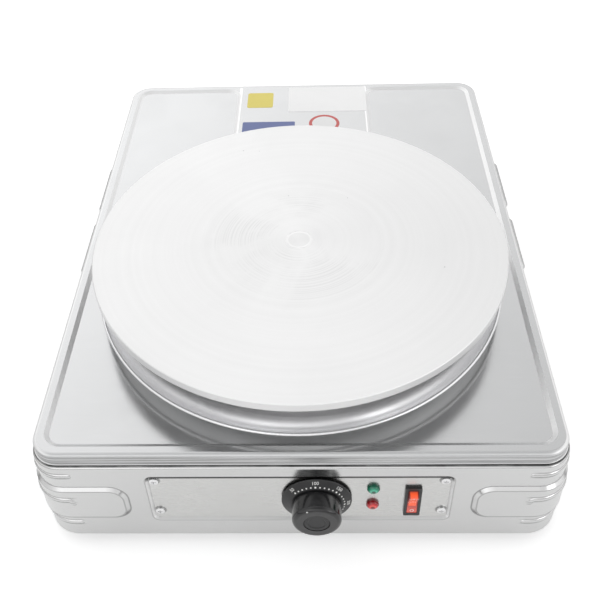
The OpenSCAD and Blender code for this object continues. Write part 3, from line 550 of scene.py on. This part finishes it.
# %% [markdown]
# The cover's slopes towards the sides, and those towards the front at the back of the field, get a
# painted highlight that makes them brighter than its flat parts. The crests along both edges of the
# spine get the brightest painted highlight. Long dark streaks of uneven strength run round the skirt.

# %% Painted highlights on slopes and crests, and dark streaks round the skirt of the cover
tree = cover_steel.node_tree
x, y, _ = parts_of(tree, coordinates(tree))
way_x, way_y, way_z = face_way(tree)
to_sides = scaled(tree, size(tree, way_x), 0.08, 0.3, 0, 0.85)
at_back = scaled(tree, y, -0.05, 0.05)
to_front = times(tree, scaled(tree, way_y, -0.08, -0.3, 0, 0.8), at_back)
slope_highlight = times(tree, maths(tree, "MAXIMUM", to_sides, to_front), scaled(tree, way_z, 0.3, 0.6))
# Painted highlight on the slopes
lay_over(tree, slope_highlight, grey(0.97))

crest_low, crest_high, spine_end = 0.0812, 0.0850, 0.289
along_spine = times(tree, scaled(tree, y, 0.10, 0.14), scaled(tree, y, spine_end, spine_end + 0.001, 1, 0))
crest_highlight = times(tree, strip(tree, size(tree, x), crest_low, crest_high), along_spine)
# Painted highlight along the crests of the spine
lay_over(tree, crest_highlight, grey(0.97), 0.9)

streaks = noise(tree, coordinates(tree, scale=(0.006, 0.006, 1)), 620.0, 3.0, 0.6)
skirt = scaled(tree, way_z, 0.75, 0.2)
lay_over(tree, times(tree, skirt, scaled(tree, streaks, 0.42, 0.62, 0, 0.85)), grey(0.32))
print("cover finish:", len(tree.nodes), "nodes")

# %% [markdown]
# ## Turned metal
# The plate is faced on a lathe: the tool leaves rings that are too fine to see one by one, but they
# stretch each highlight into a fan that turns about the centre. Anisotropy does this when its
# tangent runs round the plate, which is the cross product of the radius and the upright axis. The
# drip dish is spun on the same axis, so one recipe serves both.

# %% Turned metal round the griddle's axis
def turned(name, colour, gloss, coarse, anisotropic):
    material, tree, shader = new_material(name, Metallic=1.0, Anisotropic=anisotropic)
    spoke = coordinates(tree, centre=griddle_mid)
    across = add(tree, "ShaderNodeVectorMath", operation="CROSS_PRODUCT")
    join(tree, spoke, across.inputs[0])
    across.inputs[1].default_value = (0, 0, 1)
    unit = add(tree, "ShaderNodeVectorMath", operation="NORMALIZE")
    join(tree, across.outputs[0], unit.inputs[0])
    join(tree, unit.outputs[0], shader.inputs["Tangent"])
    rings = use_group(tree, "turning", spoke, Coarse=coarse)
    tone = ramp(tree, rings["Coarse"], [(0.3, shaded(colour, 0.98)), (0.7, colour)])
    tone = mix(tree, scaled(tree, rings["Patches"], 0.35, 0.7, 0, 0.4), tone, shaded(colour, 0.965))
    join(tree, tone, shader.inputs["Base Color"])
    rough = scaled(tree, rings["Fine"], 0.3, 0.7, gloss * 0.94, gloss * 1.06)
    rough = plus(tree, rough, scaled(tree, rings["Patches"], 0.4, 0.7, 0, 0.04))
    join(tree, rough, shader.inputs["Roughness"])
    bump(tree, shader, rings["Fine"], 0.3, 0.00004)
    return material


griddle_metal = turned("griddle_metal", (0.96, 0.96, 0.96), 0.55, 160.0, 0.35)
dish_metal = turned("dish_metal", (0.96, 0.96, 0.97), 0.24, 90.0, 0.3)
print("turned metal:", griddle_metal.name, dish_metal.name)

# %% [markdown]
# Painted shade makes the griddle's rim, and every face that turns away from upright, a little greyer
# than its top. Around the centre the turning marks are worn, so rings about 2 mm apart show there, in
# patches. The tool stopped at the centre, where it left a small disc inside a bright ring, and the
# casting has a few dark pits. Each mark is a mask of its own over the same finish, so it can be
# changed alone.

# %% Painted shade on the rim, wear, centre ring and pits on the griddle
tree = griddle_metal.node_tree
# Painted shade on faces that turn away from upright
lay_over(tree, facing_up(tree, 0.6, 0.1), grey(0.90))
from_centre = length_of(tree, coordinates(tree, centre=griddle_mid, scale=(1, 1, 0)))
rings = use_group(tree, "turning", coordinates(tree, centre=griddle_mid), Coarse=520.0)
worn = scaled(tree, rings["Patches"], 0.46, 0.6, 0, 0.7)
worn = times(tree, worn, scaled(tree, from_centre, 0.06, 0.1, 1, 0), scaled(tree, rings["Coarse"], 0.45, 0.6))
lay_over(tree, worn, grey(0.84))

disc_r, bright_ring_r = 0.0106, 0.0132
lay_over(tree, scaled(tree, from_centre, disc_r - 0.0008, disc_r, 1, 0), grey(0.90), 0.6)
lay_over(tree, strip(tree, from_centre, disc_r, bright_ring_r), grey(1.0))
pits = noise(tree, coordinates(tree, centre=griddle_mid), 210.0, 2.0, 0.5)
lay_over(tree, scaled(tree, pits, 0.775, 0.80), grey(0.12), 0.7)
print("griddle finish:", len(tree.nodes), "nodes")

# %% [markdown]
# The dish is polished where it can be reached. Its outside and underside, which point downwards, are
# rougher as they come off the spinning tool, and painted shade makes them greyer.

# %% Painted shade and roughness on the outside of the dish
tree = dish_metal.node_tree
outside = facing_up(tree, 0.1, -0.2)
# Painted shade on faces that point downwards
lay_over(tree, outside, grey(0.66))
roughen(tree, outside, 0.2)
print("dish finish:", len(tree.nodes), "nodes")

# %% [markdown]
# ## Plastics, rubber and the rest
# Mouldings differ from each other in colour, gloss and grain, so one recipe serves them all. A thin
# coat on top gives the knob its wet-looking highlight.

# %% Moulded parts
def plastic(name, colour, gloss, grain=2400.0, depth=0.00002, coat=0.0):
    material, tree, shader = new_material(name, Coat_Weight=coat, Coat_Roughness=0.08)
    skin = use_group(tree, "moulded", coordinates(tree), Grain=grain)
    dusty = [min(1, channel * 0.8 + 0.06) for channel in colour]
    tone = mix(tree, times(tree, skin["Dust"], 0.25), colour, dusty)
    join(tree, tone, shader.inputs["Base Color"])
    join(tree, scaled(tree, skin["Height"], 0.3, 0.7, gloss * 0.9, gloss * 1.15), shader.inputs["Roughness"])
    bump(tree, shader, skin["Height"], 0.2, depth)
    return material


gloss_black = plastic("gloss_black", (0.008, 0.008, 0.009), 0.16, coat=0.4)
dial_black = plastic("dial_black", (0.016, 0.016, 0.017), 0.34)
insert_grey = plastic("insert_grey", (0.012, 0.012, 0.013), 0.32)
bezel_black = plastic("bezel_black", (0.02, 0.02, 0.021), 0.3)
foot_rubber = plastic("foot_rubber", (0.03, 0.03, 0.03), 0.75, grain=1200.0, depth=0.00006)
gland_plastic = plastic("gland_plastic", (0.025, 0.025, 0.026), 0.45)
pale_plastic = plastic("pale_plastic", (0.70, 0.66, 0.56), 0.5)
ceramic = plastic("ceramic", (0.84, 0.82, 0.76), 0.4, grain=700.0)
fibre = plastic("fibre", (0.78, 0.76, 0.70), 0.95, grain=300.0, depth=0.0012)
white_print = plastic("white_print", (0.86, 0.86, 0.84), 0.5)
print("materials so far:", len(bpy.data.materials))

# %% [markdown]
# The lamps' lenses are coloured plastic in front of a small lamp. Each shows painted shade in the
# middle, a painted highlight ring round it, its own colour further out, and painted shade again at the
# rim. A ramp over the distance from the lens's axis draws this, with a weak glow of the same colours,
# so it holds from any side.

# %% Lamp lenses
lens_r = 0.006


def lens_plastic(name, lens, colour, ring_highlight):
    material, tree, shader = new_material(name, Coat_Weight=0.6, Coat_Roughness=0.05, Emission_Strength=0.1)
    from_middle = length_of(tree, coordinates(tree, centre=middle(lens), scale=(1, 0, 1)))
    # The deep colour is painted shade for the middle and the rim, and the second colour is the painted
    # highlight ring
    deep = shaded(colour, 0.3)
    stops = [(0.0, deep), (0.22, deep), (0.42, ring_highlight), (0.66, colour), (0.95, deep)]
    tone = ramp(tree, scaled(tree, from_middle, 0, lens_r), stops)
    join(tree, tone, shader.inputs["Base Color"])
    join(tree, tone, shader.inputs["Emission Color"])
    skin = use_group(tree, "moulded", coordinates(tree), Grain=900.0)
    join(tree, scaled(tree, skin["Height"], 0.3, 0.7, 0.14, 0.24), shader.inputs["Roughness"])
    return material


green_lens = lens_plastic("green_lens", "green_lamp_lens", (0.0, 0.22, 0.12), (0.10, 0.50, 0.34))
red_lens = lens_plastic("red_lens", "red_lamp_lens", (0.50, 0.004, 0.012), (0.85, 0.10, 0.08))
print("lenses:", green_lens.name, red_lens.name)

# %% [markdown]
# The rocker is one red moulding with a lamp behind it. It glows orange from a little below its middle
# nearly to its top. Round the lit part, a painted highlight makes the frame pale red at its foot and
# painted shade makes it dark red at its top.

# %% Lit rocker
rocker_orange, tree, shader = new_material(
    "rocker_orange", Coat_Weight=0.5, Coat_Roughness=0.08, Roughness=0.25, Emission_Strength=0.25
)
x, _, z = parts_of(tree, coordinates(tree, centre=middle("switch_rocker")))
between_sides = scaled(tree, size(tree, x), 0.0028, 0.0038, 1, 0)
above_foot = scaled(tree, z, -0.0062, -0.0046)
below_top = scaled(tree, z, 0.0160, 0.0172, 1, 0)
lit_part = times(tree, between_sides, above_foot, below_top)
# The frame's colours run from a painted highlight at its foot to painted shade at its top
frame_glare_and_shade_stops = [(0.0, (0.62, 0.09, 0.06)), (0.3, (0.36, 0.02, 0.012)), (1.0, (0.10, 0.008, 0.006))]
frame_glare_and_shade = ramp(tree, scaled(tree, z, -0.012, 0.016), frame_glare_and_shade_stops)
tone = mix(tree, lit_part, frame_glare_and_shade, (0.95, 0.10, 0.02))
join(tree, tone, shader.inputs["Base Color"])
join(tree, tone, shader.inputs["Emission Color"])
print("rocker finish:", len(tree.nodes), "nodes")

# %% [markdown]
# The other metals are the same recipe as the stainless sheet, with their own colour and gloss. Small
# parts get a finer grain, because it is seen at their own scale.

# %% Plated steel, zinc, copper, brass and oxidised tube
small_part = {"wave_depth": 0.0001, "wave": 60.0, "grain_scale": 4}
plated_steel = stainless("plated_steel", (0.78, 0.78, 0.78), 0.26, **small_part)
copper = stainless("copper", (0.80, 0.46, 0.32), 0.3, **small_part)
brass = stainless("brass", (0.80, 0.64, 0.34), 0.3, **small_part)
oxide = stainless("oxide", (0.15, 0.13, 0.12), 0.55, 0.0002, wave=80.0, grain_scale=4)
zinc_sheet = stainless("zinc_sheet", (0.62, 0.64, 0.66), 0.42, 0.0002, wave=25.0)
bright_sheet = stainless("bright_sheet", (0.90, 0.90, 0.905), 0.25, 0.0002, wave=20.0)
print("materials so far:", len(bpy.data.materials))

# %% [markdown]
# ## Dressing the pieces
# Each ready-made piece takes one material. A piece that is not in the table is a plated fastener.

# %% Give every piece its material
finishes = {
    "casing": casing_steel, "top_cover": cover_steel, "control_panel": panel_steel,
    "griddle_plate": griddle_metal, "drip_dish": dish_metal, "base_plate": zinc_sheet,
    "support_rails": zinc_sheet, "heat_shield": bright_sheet, "panel_screws": bright_sheet,
    "knob": gloss_black, "dial_ring": dial_black, "knob_insert": insert_grey,
    "switch_housing": bezel_black, "switch_rocker": rocker_orange,
    "green_lamp_lens": green_lens, "red_lamp_lens": red_lens, "green_lamp_body": pale_plastic,
    "red_lamp_body": pale_plastic, "thermostat_body": pale_plastic, "terminal_block": pale_plastic,
    "element_terminals": ceramic, "insulation_disc": fibre, "switch_terminals": brass,
    "capillary_tube": copper, "sensor_bulb": copper, "gland_body": gland_plastic,
    "gland_nut": gland_plastic, "gland_locknut": gland_plastic, "gland_seal": foot_rubber,
    "heating_element_outer": oxide, "heating_element_inner": oxide,
    "foot_front_left": foot_rubber, "foot_front_right": foot_rubber,
    "foot_rear_left": foot_rubber, "foot_rear_right": foot_rubber,
}
for name, piece in nodes.items():
    piece.data.materials.clear()
    piece.data.materials.append(finishes.get(name, plated_steel))
print("dressed", len(nodes), "pieces,", len(finishes), "by name")

# %% [markdown]
# ## Print on the dial
# The ring carries white dots, ten degrees of heat apart, and a number at every fifth dot. They are
# printed on a cone, so each mark is made flat at the origin and then carried by a matrix to its place
# on the slope: one axis runs round the ring, one down the slope and one out of it.

# %% Where a mark sits on the cone
cone_low_r, cone_high_r, cone_drop = 0.0304, 0.0229, 0.0039
dot_circle_r, number_circle_r = 0.0245, 0.0279
first_heat, first_angle, turn_per_degree = 50, -49, 0.935


def on_axis(depth):
    """A point on the dial's axis, where depth is its place along the way out of the panel."""
    return dial_axis + panel_out * (depth - dial_axis.dot(panel_out))


def spoke_at(angle):
    return panel_across * math.sin(angle) + panel_up * math.cos(angle)


def on_dial(heat, radius, rise):
    angle = math.radians(first_angle + (heat - first_heat) * turn_per_degree)
    around = panel_across * math.cos(angle) - panel_up * math.sin(angle)
    downhill = (spoke_at(angle) * (cone_low_r - cone_high_r) - panel_out * cone_drop).normalized()
    normal = around.cross(downhill)
    depth = ring_front - cone_drop * (radius - cone_high_r) / (cone_low_r - cone_high_r)
    return standing(on_axis(depth) + spoke_at(angle) * radius + normal * rise, around, downhill, normal)


print("the dial's slope falls by", cone_drop, "over", round(cone_low_r - cone_high_r, 4))

# %% [markdown]
# A new piece rides on the body that carries it, so it moves when the body does, and names the slot
# that its finish comes from. Flat shapes get their normals pointed outwards first.

# %% Turn a mesh into a piece
def piece_from(name, mesh, material, body):
    piece = put_in_scene(name, mesh)
    mesh.materials.clear()
    mesh.materials.append(material)
    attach(piece, body)
    return piece


def mesh_from(name, bm):
    mesh = bpy.data.meshes.new(name)
    bm.to_mesh(mesh)
    bm.free()
    return mesh


def piece_from_bmesh(name, bm, material, body):
    bmesh.ops.recalc_face_normals(bm, faces=bm.faces)
    return piece_from(name, mesh_from(name, bm), material, body)


print("helpers for pieces ready")

# %% Dots round the dial
dot_r, large_dot_r, dot_height = 0.0007, 0.0009, 0.0001
bm = bmesh.new()
for heat in range(50, 301, 10):
    foot_r = large_dot_r if heat % 50 == 0 else dot_r
    bmesh.ops.create_cone(
        bm, cap_ends=True, segments=20, radius1=foot_r, radius2=foot_r * 0.8, depth=dot_height,
        matrix=on_dial(heat, dot_circle_r, 0.00006),
    )
dots = piece_from_bmesh("dial_dots", bm, white_print, "cooker")
print("dots:", len(dots.data.polygons), "faces")

# %% Numbers round the dial
def text_mesh(text, height):
    curve = bpy.data.curves.new("number", "FONT")
    curve.body = text
    curve.size = height
    curve.extrude = 0.00004
    curve.align_x = "CENTER"
    curve.align_y = "CENTER"
    curve.resolution_u = 3
    holder = put_in_scene("number", curve)
    bpy.context.view_layer.update()
    mesh = bpy.data.meshes.new_from_object(holder.evaluated_get(bpy.context.evaluated_depsgraph_get()))
    bpy.data.objects.remove(holder)
    bpy.data.curves.remove(curve)
    return mesh


number_height = 0.0044
for heat in range(50, 301, 50):
    mesh = text_mesh(str(heat), number_height)
    mesh.transform(on_dial(heat, number_circle_r, 0.0001))
    piece_from("dial_number_%d" % heat, mesh, white_print, "cooker")
print("numbers 50 to 300 placed")

# %% [markdown]
# The knob has one white dot near the edge of its face. It is a drop of paint: a sphere that is
# flattened along the knob's axis and half sunk in the face. It rides on the knob, so it points at
# the heat that is set.

# %% Pointer dot on the knob's edge
pointer_angle, pointer_circle_r, pointer_r, flatness = math.radians(-25.6), 0.0185, 0.0010, 0.35
place = on_axis(knob_front - 0.0004) + spoke_at(pointer_angle) * pointer_circle_r
drop = standing(place, panel_across, panel_up, panel_out) @ Matrix.Diagonal((1, 1, flatness, 1))
bm = bmesh.new()
bmesh.ops.create_uvsphere(bm, u_segments=20, v_segments=10, radius=pointer_r, matrix=drop)
piece_from_bmesh("knob_pointer", bm, white_print, "thermostat_knob")
print("pointer at", tuple(round(v, 4) for v in place))

# %% [markdown]
# ## Marks on the rocker
# The rocker has two flat faces that meet in a shallow valley. At rest its lower face lies flush with
# the panel and its upper face stands out by the whole travel of the joint. The usual bar and circle
# are printed on the two ends.

# %% The bar and the circle
rocker_joint = joint_of("power_rocker")
travel = math.radians(rocker_joint["range_deg"][1])
valley_depth, mark_height, mark_rise = 0.0074, 0.0050, 0.00005
valley_way = panel_out * math.cos(travel / 2) - panel_up * math.sin(travel / 2)
valley = Vector(rocker_joint["pos_m"]) + valley_way * valley_depth


def on_rocker(distance, slope):
    along = panel_up * math.cos(slope) + panel_out * math.sin(slope)
    normal = panel_across.cross(along)
    return standing(valley + along * distance + normal * mark_rise, panel_across, along, normal)


for name, letter, distance, slope in (("circle", "O", -0.0118, 0), ("bar", "I", 0.0135, travel)):
    mesh = text_mesh(letter, mark_height)
    mesh.transform(on_rocker(distance, slope))
    piece_from("rocker_" + name, mesh, white_print, "power_rocker")
print("rocker travels", round(math.degrees(travel)), "degrees")

# %% [markdown]
# ## Stickers
# Four plain stickers are stuck on the flat spine behind the griddle. Each is a thin sheet of vinyl
# with rounded corners, so it starts as a flat square, which is stretched, rounded at its corners and
# raised to its thickness. The round one has a red rim, drawn by the distance from its middle.

# %% Vinyl
rim_width, rim_soft = 0.0040, 0.0002


def vinyl(name, colour, rim=None, radius=0.0, centre=(0, 0, 0)):
    material, tree, shader = new_material(name, Coat_Weight=0.35, Coat_Roughness=0.12)
    place = coordinates(tree, centre=centre)
    skin = use_group(tree, "moulded", place, Grain=1500.0)
    marks = use_group(tree, "handling", place)
    tone = mix(tree, times(tree, marks["Smudge"], 0.3), colour, shaded(colour, 0.9))
    if rim:
        inner_r = radius - rim_width
        on_rim = scaled(tree, length_of(tree, place), inner_r - rim_soft, inner_r + rim_soft)
        tone = mix(tree, on_rim, tone, rim)
    join(tree, tone, shader.inputs["Base Color"])
    join(tree, scaled(tree, skin["Height"], 0.3, 0.7, 0.3, 0.4), shader.inputs["Roughness"])
    bump(tree, shader, skin["Height"], 0.15, 0.00001)
    return material


round_r, round_mid = 0.0195, (0.028, 0.2010, cover_top)
vinyl_yellow = vinyl("vinyl_yellow", (0.80, 0.68, 0.12))
vinyl_white = vinyl("vinyl_white", (0.98, 0.98, 0.98))
vinyl_blue = vinyl("vinyl_blue", (0.12, 0.16, 0.38))
vinyl_round = vinyl("vinyl_round", (0.88, 0.88, 0.88), (0.62, 0.10, 0.09), round_r, round_mid)
print("materials so far:", len(bpy.data.materials))

# %% Stickers on the spine
vinyl_thickness, sticker_gap = 0.00018, 0.00002


def sticker(name, x, y, width, depth, corner, material):
    bm = bmesh.new()
    bmesh.ops.create_grid(bm, x_segments=1, y_segments=1, size=0.5)
    bmesh.ops.scale(bm, vec=(width, depth, 1), verts=bm.verts)
    bmesh.ops.bevel(
        bm, geom=bm.verts[:], offset=corner, segments=10, profile=0.5, affect="VERTICES", material=-1
    )
    top = bmesh.ops.extrude_face_region(bm, geom=bm.faces[:])["geom"]
    raised = [part for part in top if isinstance(part, bmesh.types.BMVert)]
    bmesh.ops.translate(bm, vec=(0, 0, vinyl_thickness), verts=raised)
    bmesh.ops.translate(bm, vec=(x, y, cover_top + sticker_gap), verts=bm.verts)
    return piece_from_bmesh(name, bm, material, "cooker")


sticker("sticker_yellow", -0.056, 0.2582, 0.034, 0.036, 0.003, vinyl_yellow)
sticker("sticker_white", 0.0325, 0.2590, 0.102, 0.060, 0.002, vinyl_white)
sticker("sticker_blue", -0.043, 0.1860, 0.067, 0.040, 0.002, vinyl_blue)
sticker("sticker_round", *round_mid[:2], 2 * round_r, 2 * round_r, round_r, vinyl_round)
print("stickers placed at height", round(cover_top, 4))

# %% [markdown]
# ## Stage
# The floor is white paper and takes the machine's soft shadow. A little extra white that only the
# camera sees lifts the paper to pure white. For all other rays the paper darkens with the distance
# from the machine, as where a studio's light falls away, and mirrored rays also see it glow a little
# near the machine. That gives the steel the light and dark bands that make it read as metal.

# %% Floor
floor_half_size, floor_gap = 6, 0.0003
paper_centre = (0.1, 0.15, 0)
bm = bmesh.new()
bmesh.ops.create_grid(bm, x_segments=1, y_segments=1, size=floor_half_size)
bmesh.ops.translate(bm, vec=(0, 0, -floor_gap), verts=bm.verts)
floor = put_in_scene("floor", mesh_from("floor", bm))
material, tree, shader = new_material("floor_white", Roughness=0.9, Emission_Color=(1, 1, 1))
rays = add(tree, "ShaderNodeLightPath").outputs
distance = length_of(tree, coordinates(tree, centre=paper_centre))
mirrored_paper = ramp(tree, scaled(tree, distance, 0.58, 1.6), [(0.05, grey(0.88)), (0.9, grey(0.14))])
paper = mix(tree, rays["Is Camera Ray"], mirrored_paper, grey(0.93))
join(tree, paper, shader.inputs["Base Color"])
mirrored = maths(tree, "MAXIMUM", rays["Is Glossy Ray"], rays["Is Transmission Ray"])
mirrored_glow = times(tree, mirrored, scaled(tree, distance, 0.7, 1.5, 0.2, 0))
glow = plus(tree, times(tree, rays["Is Camera Ray"], 0.4), mirrored_glow)
join(tree, glow, shader.inputs["Emission Strength"])
floor.data.materials.append(material)
print("floor", 2 * floor_half_size, "across,", floor_gap, "under the feet")

# %% [markdown]
# ## Light
# Nearly all the light is a pale room all round, which lights the machine softly and which the steel
# mirrors. An even room would leave steel flat, so it is graded: whitest from the horizon up to about
# 30 degrees, greyer overhead, at both sides and low behind the machine, and nearly black in a patch
# above the front, as under a studio's black flag. The camera itself sees plain white instead.

# %% Room light
world = bpy.data.worlds.new("room")
bpy.context.scene.world = world
world.use_nodes = True
tree = world.node_tree
sky = tree.nodes["Background"]
to_x, to_y, to_z = parts_of(tree, add(tree, "ShaderNodeTexCoord").outputs["Generated"])
height_stops = [(0.0, grey(0.9)), (0.2, grey(1.0)), (0.58, grey(1.0)), (0.72, grey(0.87)), (1.0, grey(0.66))]
side_stops = [(0.0, grey(0.60)), (0.14, grey(0.74)), (0.27, grey(1.0)), (0.81, grey(0.60)), (1.0, grey(0.78))]
by_height = ramp(tree, scaled(tree, to_z, -0.2, 1), height_stops)
by_side = ramp(tree, scaled(tree, to_x, -0.85, 0.75), side_stops)
above_front = times(tree, scaled(tree, to_z, 0.72, 0.88), scaled(tree, to_y, -0.4, -0.12, 0.8, 0))
low_behind = times(tree, scaled(tree, to_z, 0.22, 0.5, 1, 0), scaled(tree, to_y, 0.0, 0.2, 0, 0.8))
tone = mix(tree, 1.0, by_height, by_side, "MULTIPLY")
tone = mix(tree, above_front, tone, grey(0.02))
tone = mix(tree, low_behind, tone, grey(0.42))
join(tree, tone, sky.inputs["Color"])
sky.inputs["Strength"].default_value = 1.48
backdrop = add(tree, "ShaderNodeBackground", Strength=1.0)
backdrop.inputs["Color"].default_value = (1, 1, 1, 1)
choose = add(tree, "ShaderNodeMixShader")
join(tree, add(tree, "ShaderNodeLightPath").outputs["Is Camera Ray"], choose.inputs[0])
join(tree, sky.outputs[0], choose.inputs[1])
join(tree, backdrop.outputs[0], choose.inputs[2])
join(tree, choose.outputs[0], tree.nodes["World Output"].inputs["Surface"])
print("room light:", len(tree.nodes), "nodes, strength", round(sky.inputs["Strength"].default_value, 2))

# %% [markdown]
# One weak soft box at the right front adds small highlights on the knob, the lenses and the screws.

# %% Soft box
key_place, key_aim, key_size, key_power = Vector((1.4, -1.4, 0.6)), Vector((0, -0.1, 0.12)), (0.6, 0.5), 1.2
light = bpy.data.lights.new("key_box", "AREA")
light.shape = "RECTANGLE"
light.size, light.size_y = key_size
light.energy = key_power
key_box = put_in_scene("key_box", light)
turn = (key_aim - key_place).to_track_quat("-Z", "Y").to_matrix().to_4x4()
key_box.matrix_world = Matrix.Translation(key_place) @ turn
print("soft box of", key_power, "W placed")

# %% [markdown]
# ## Finish
# The Standard view shows each colour as it is written.

# %% Render settings that belong to the picture
bpy.context.scene.view_settings.view_transform = "Standard"
print("view:", bpy.context.scene.view_settings.view_transform)
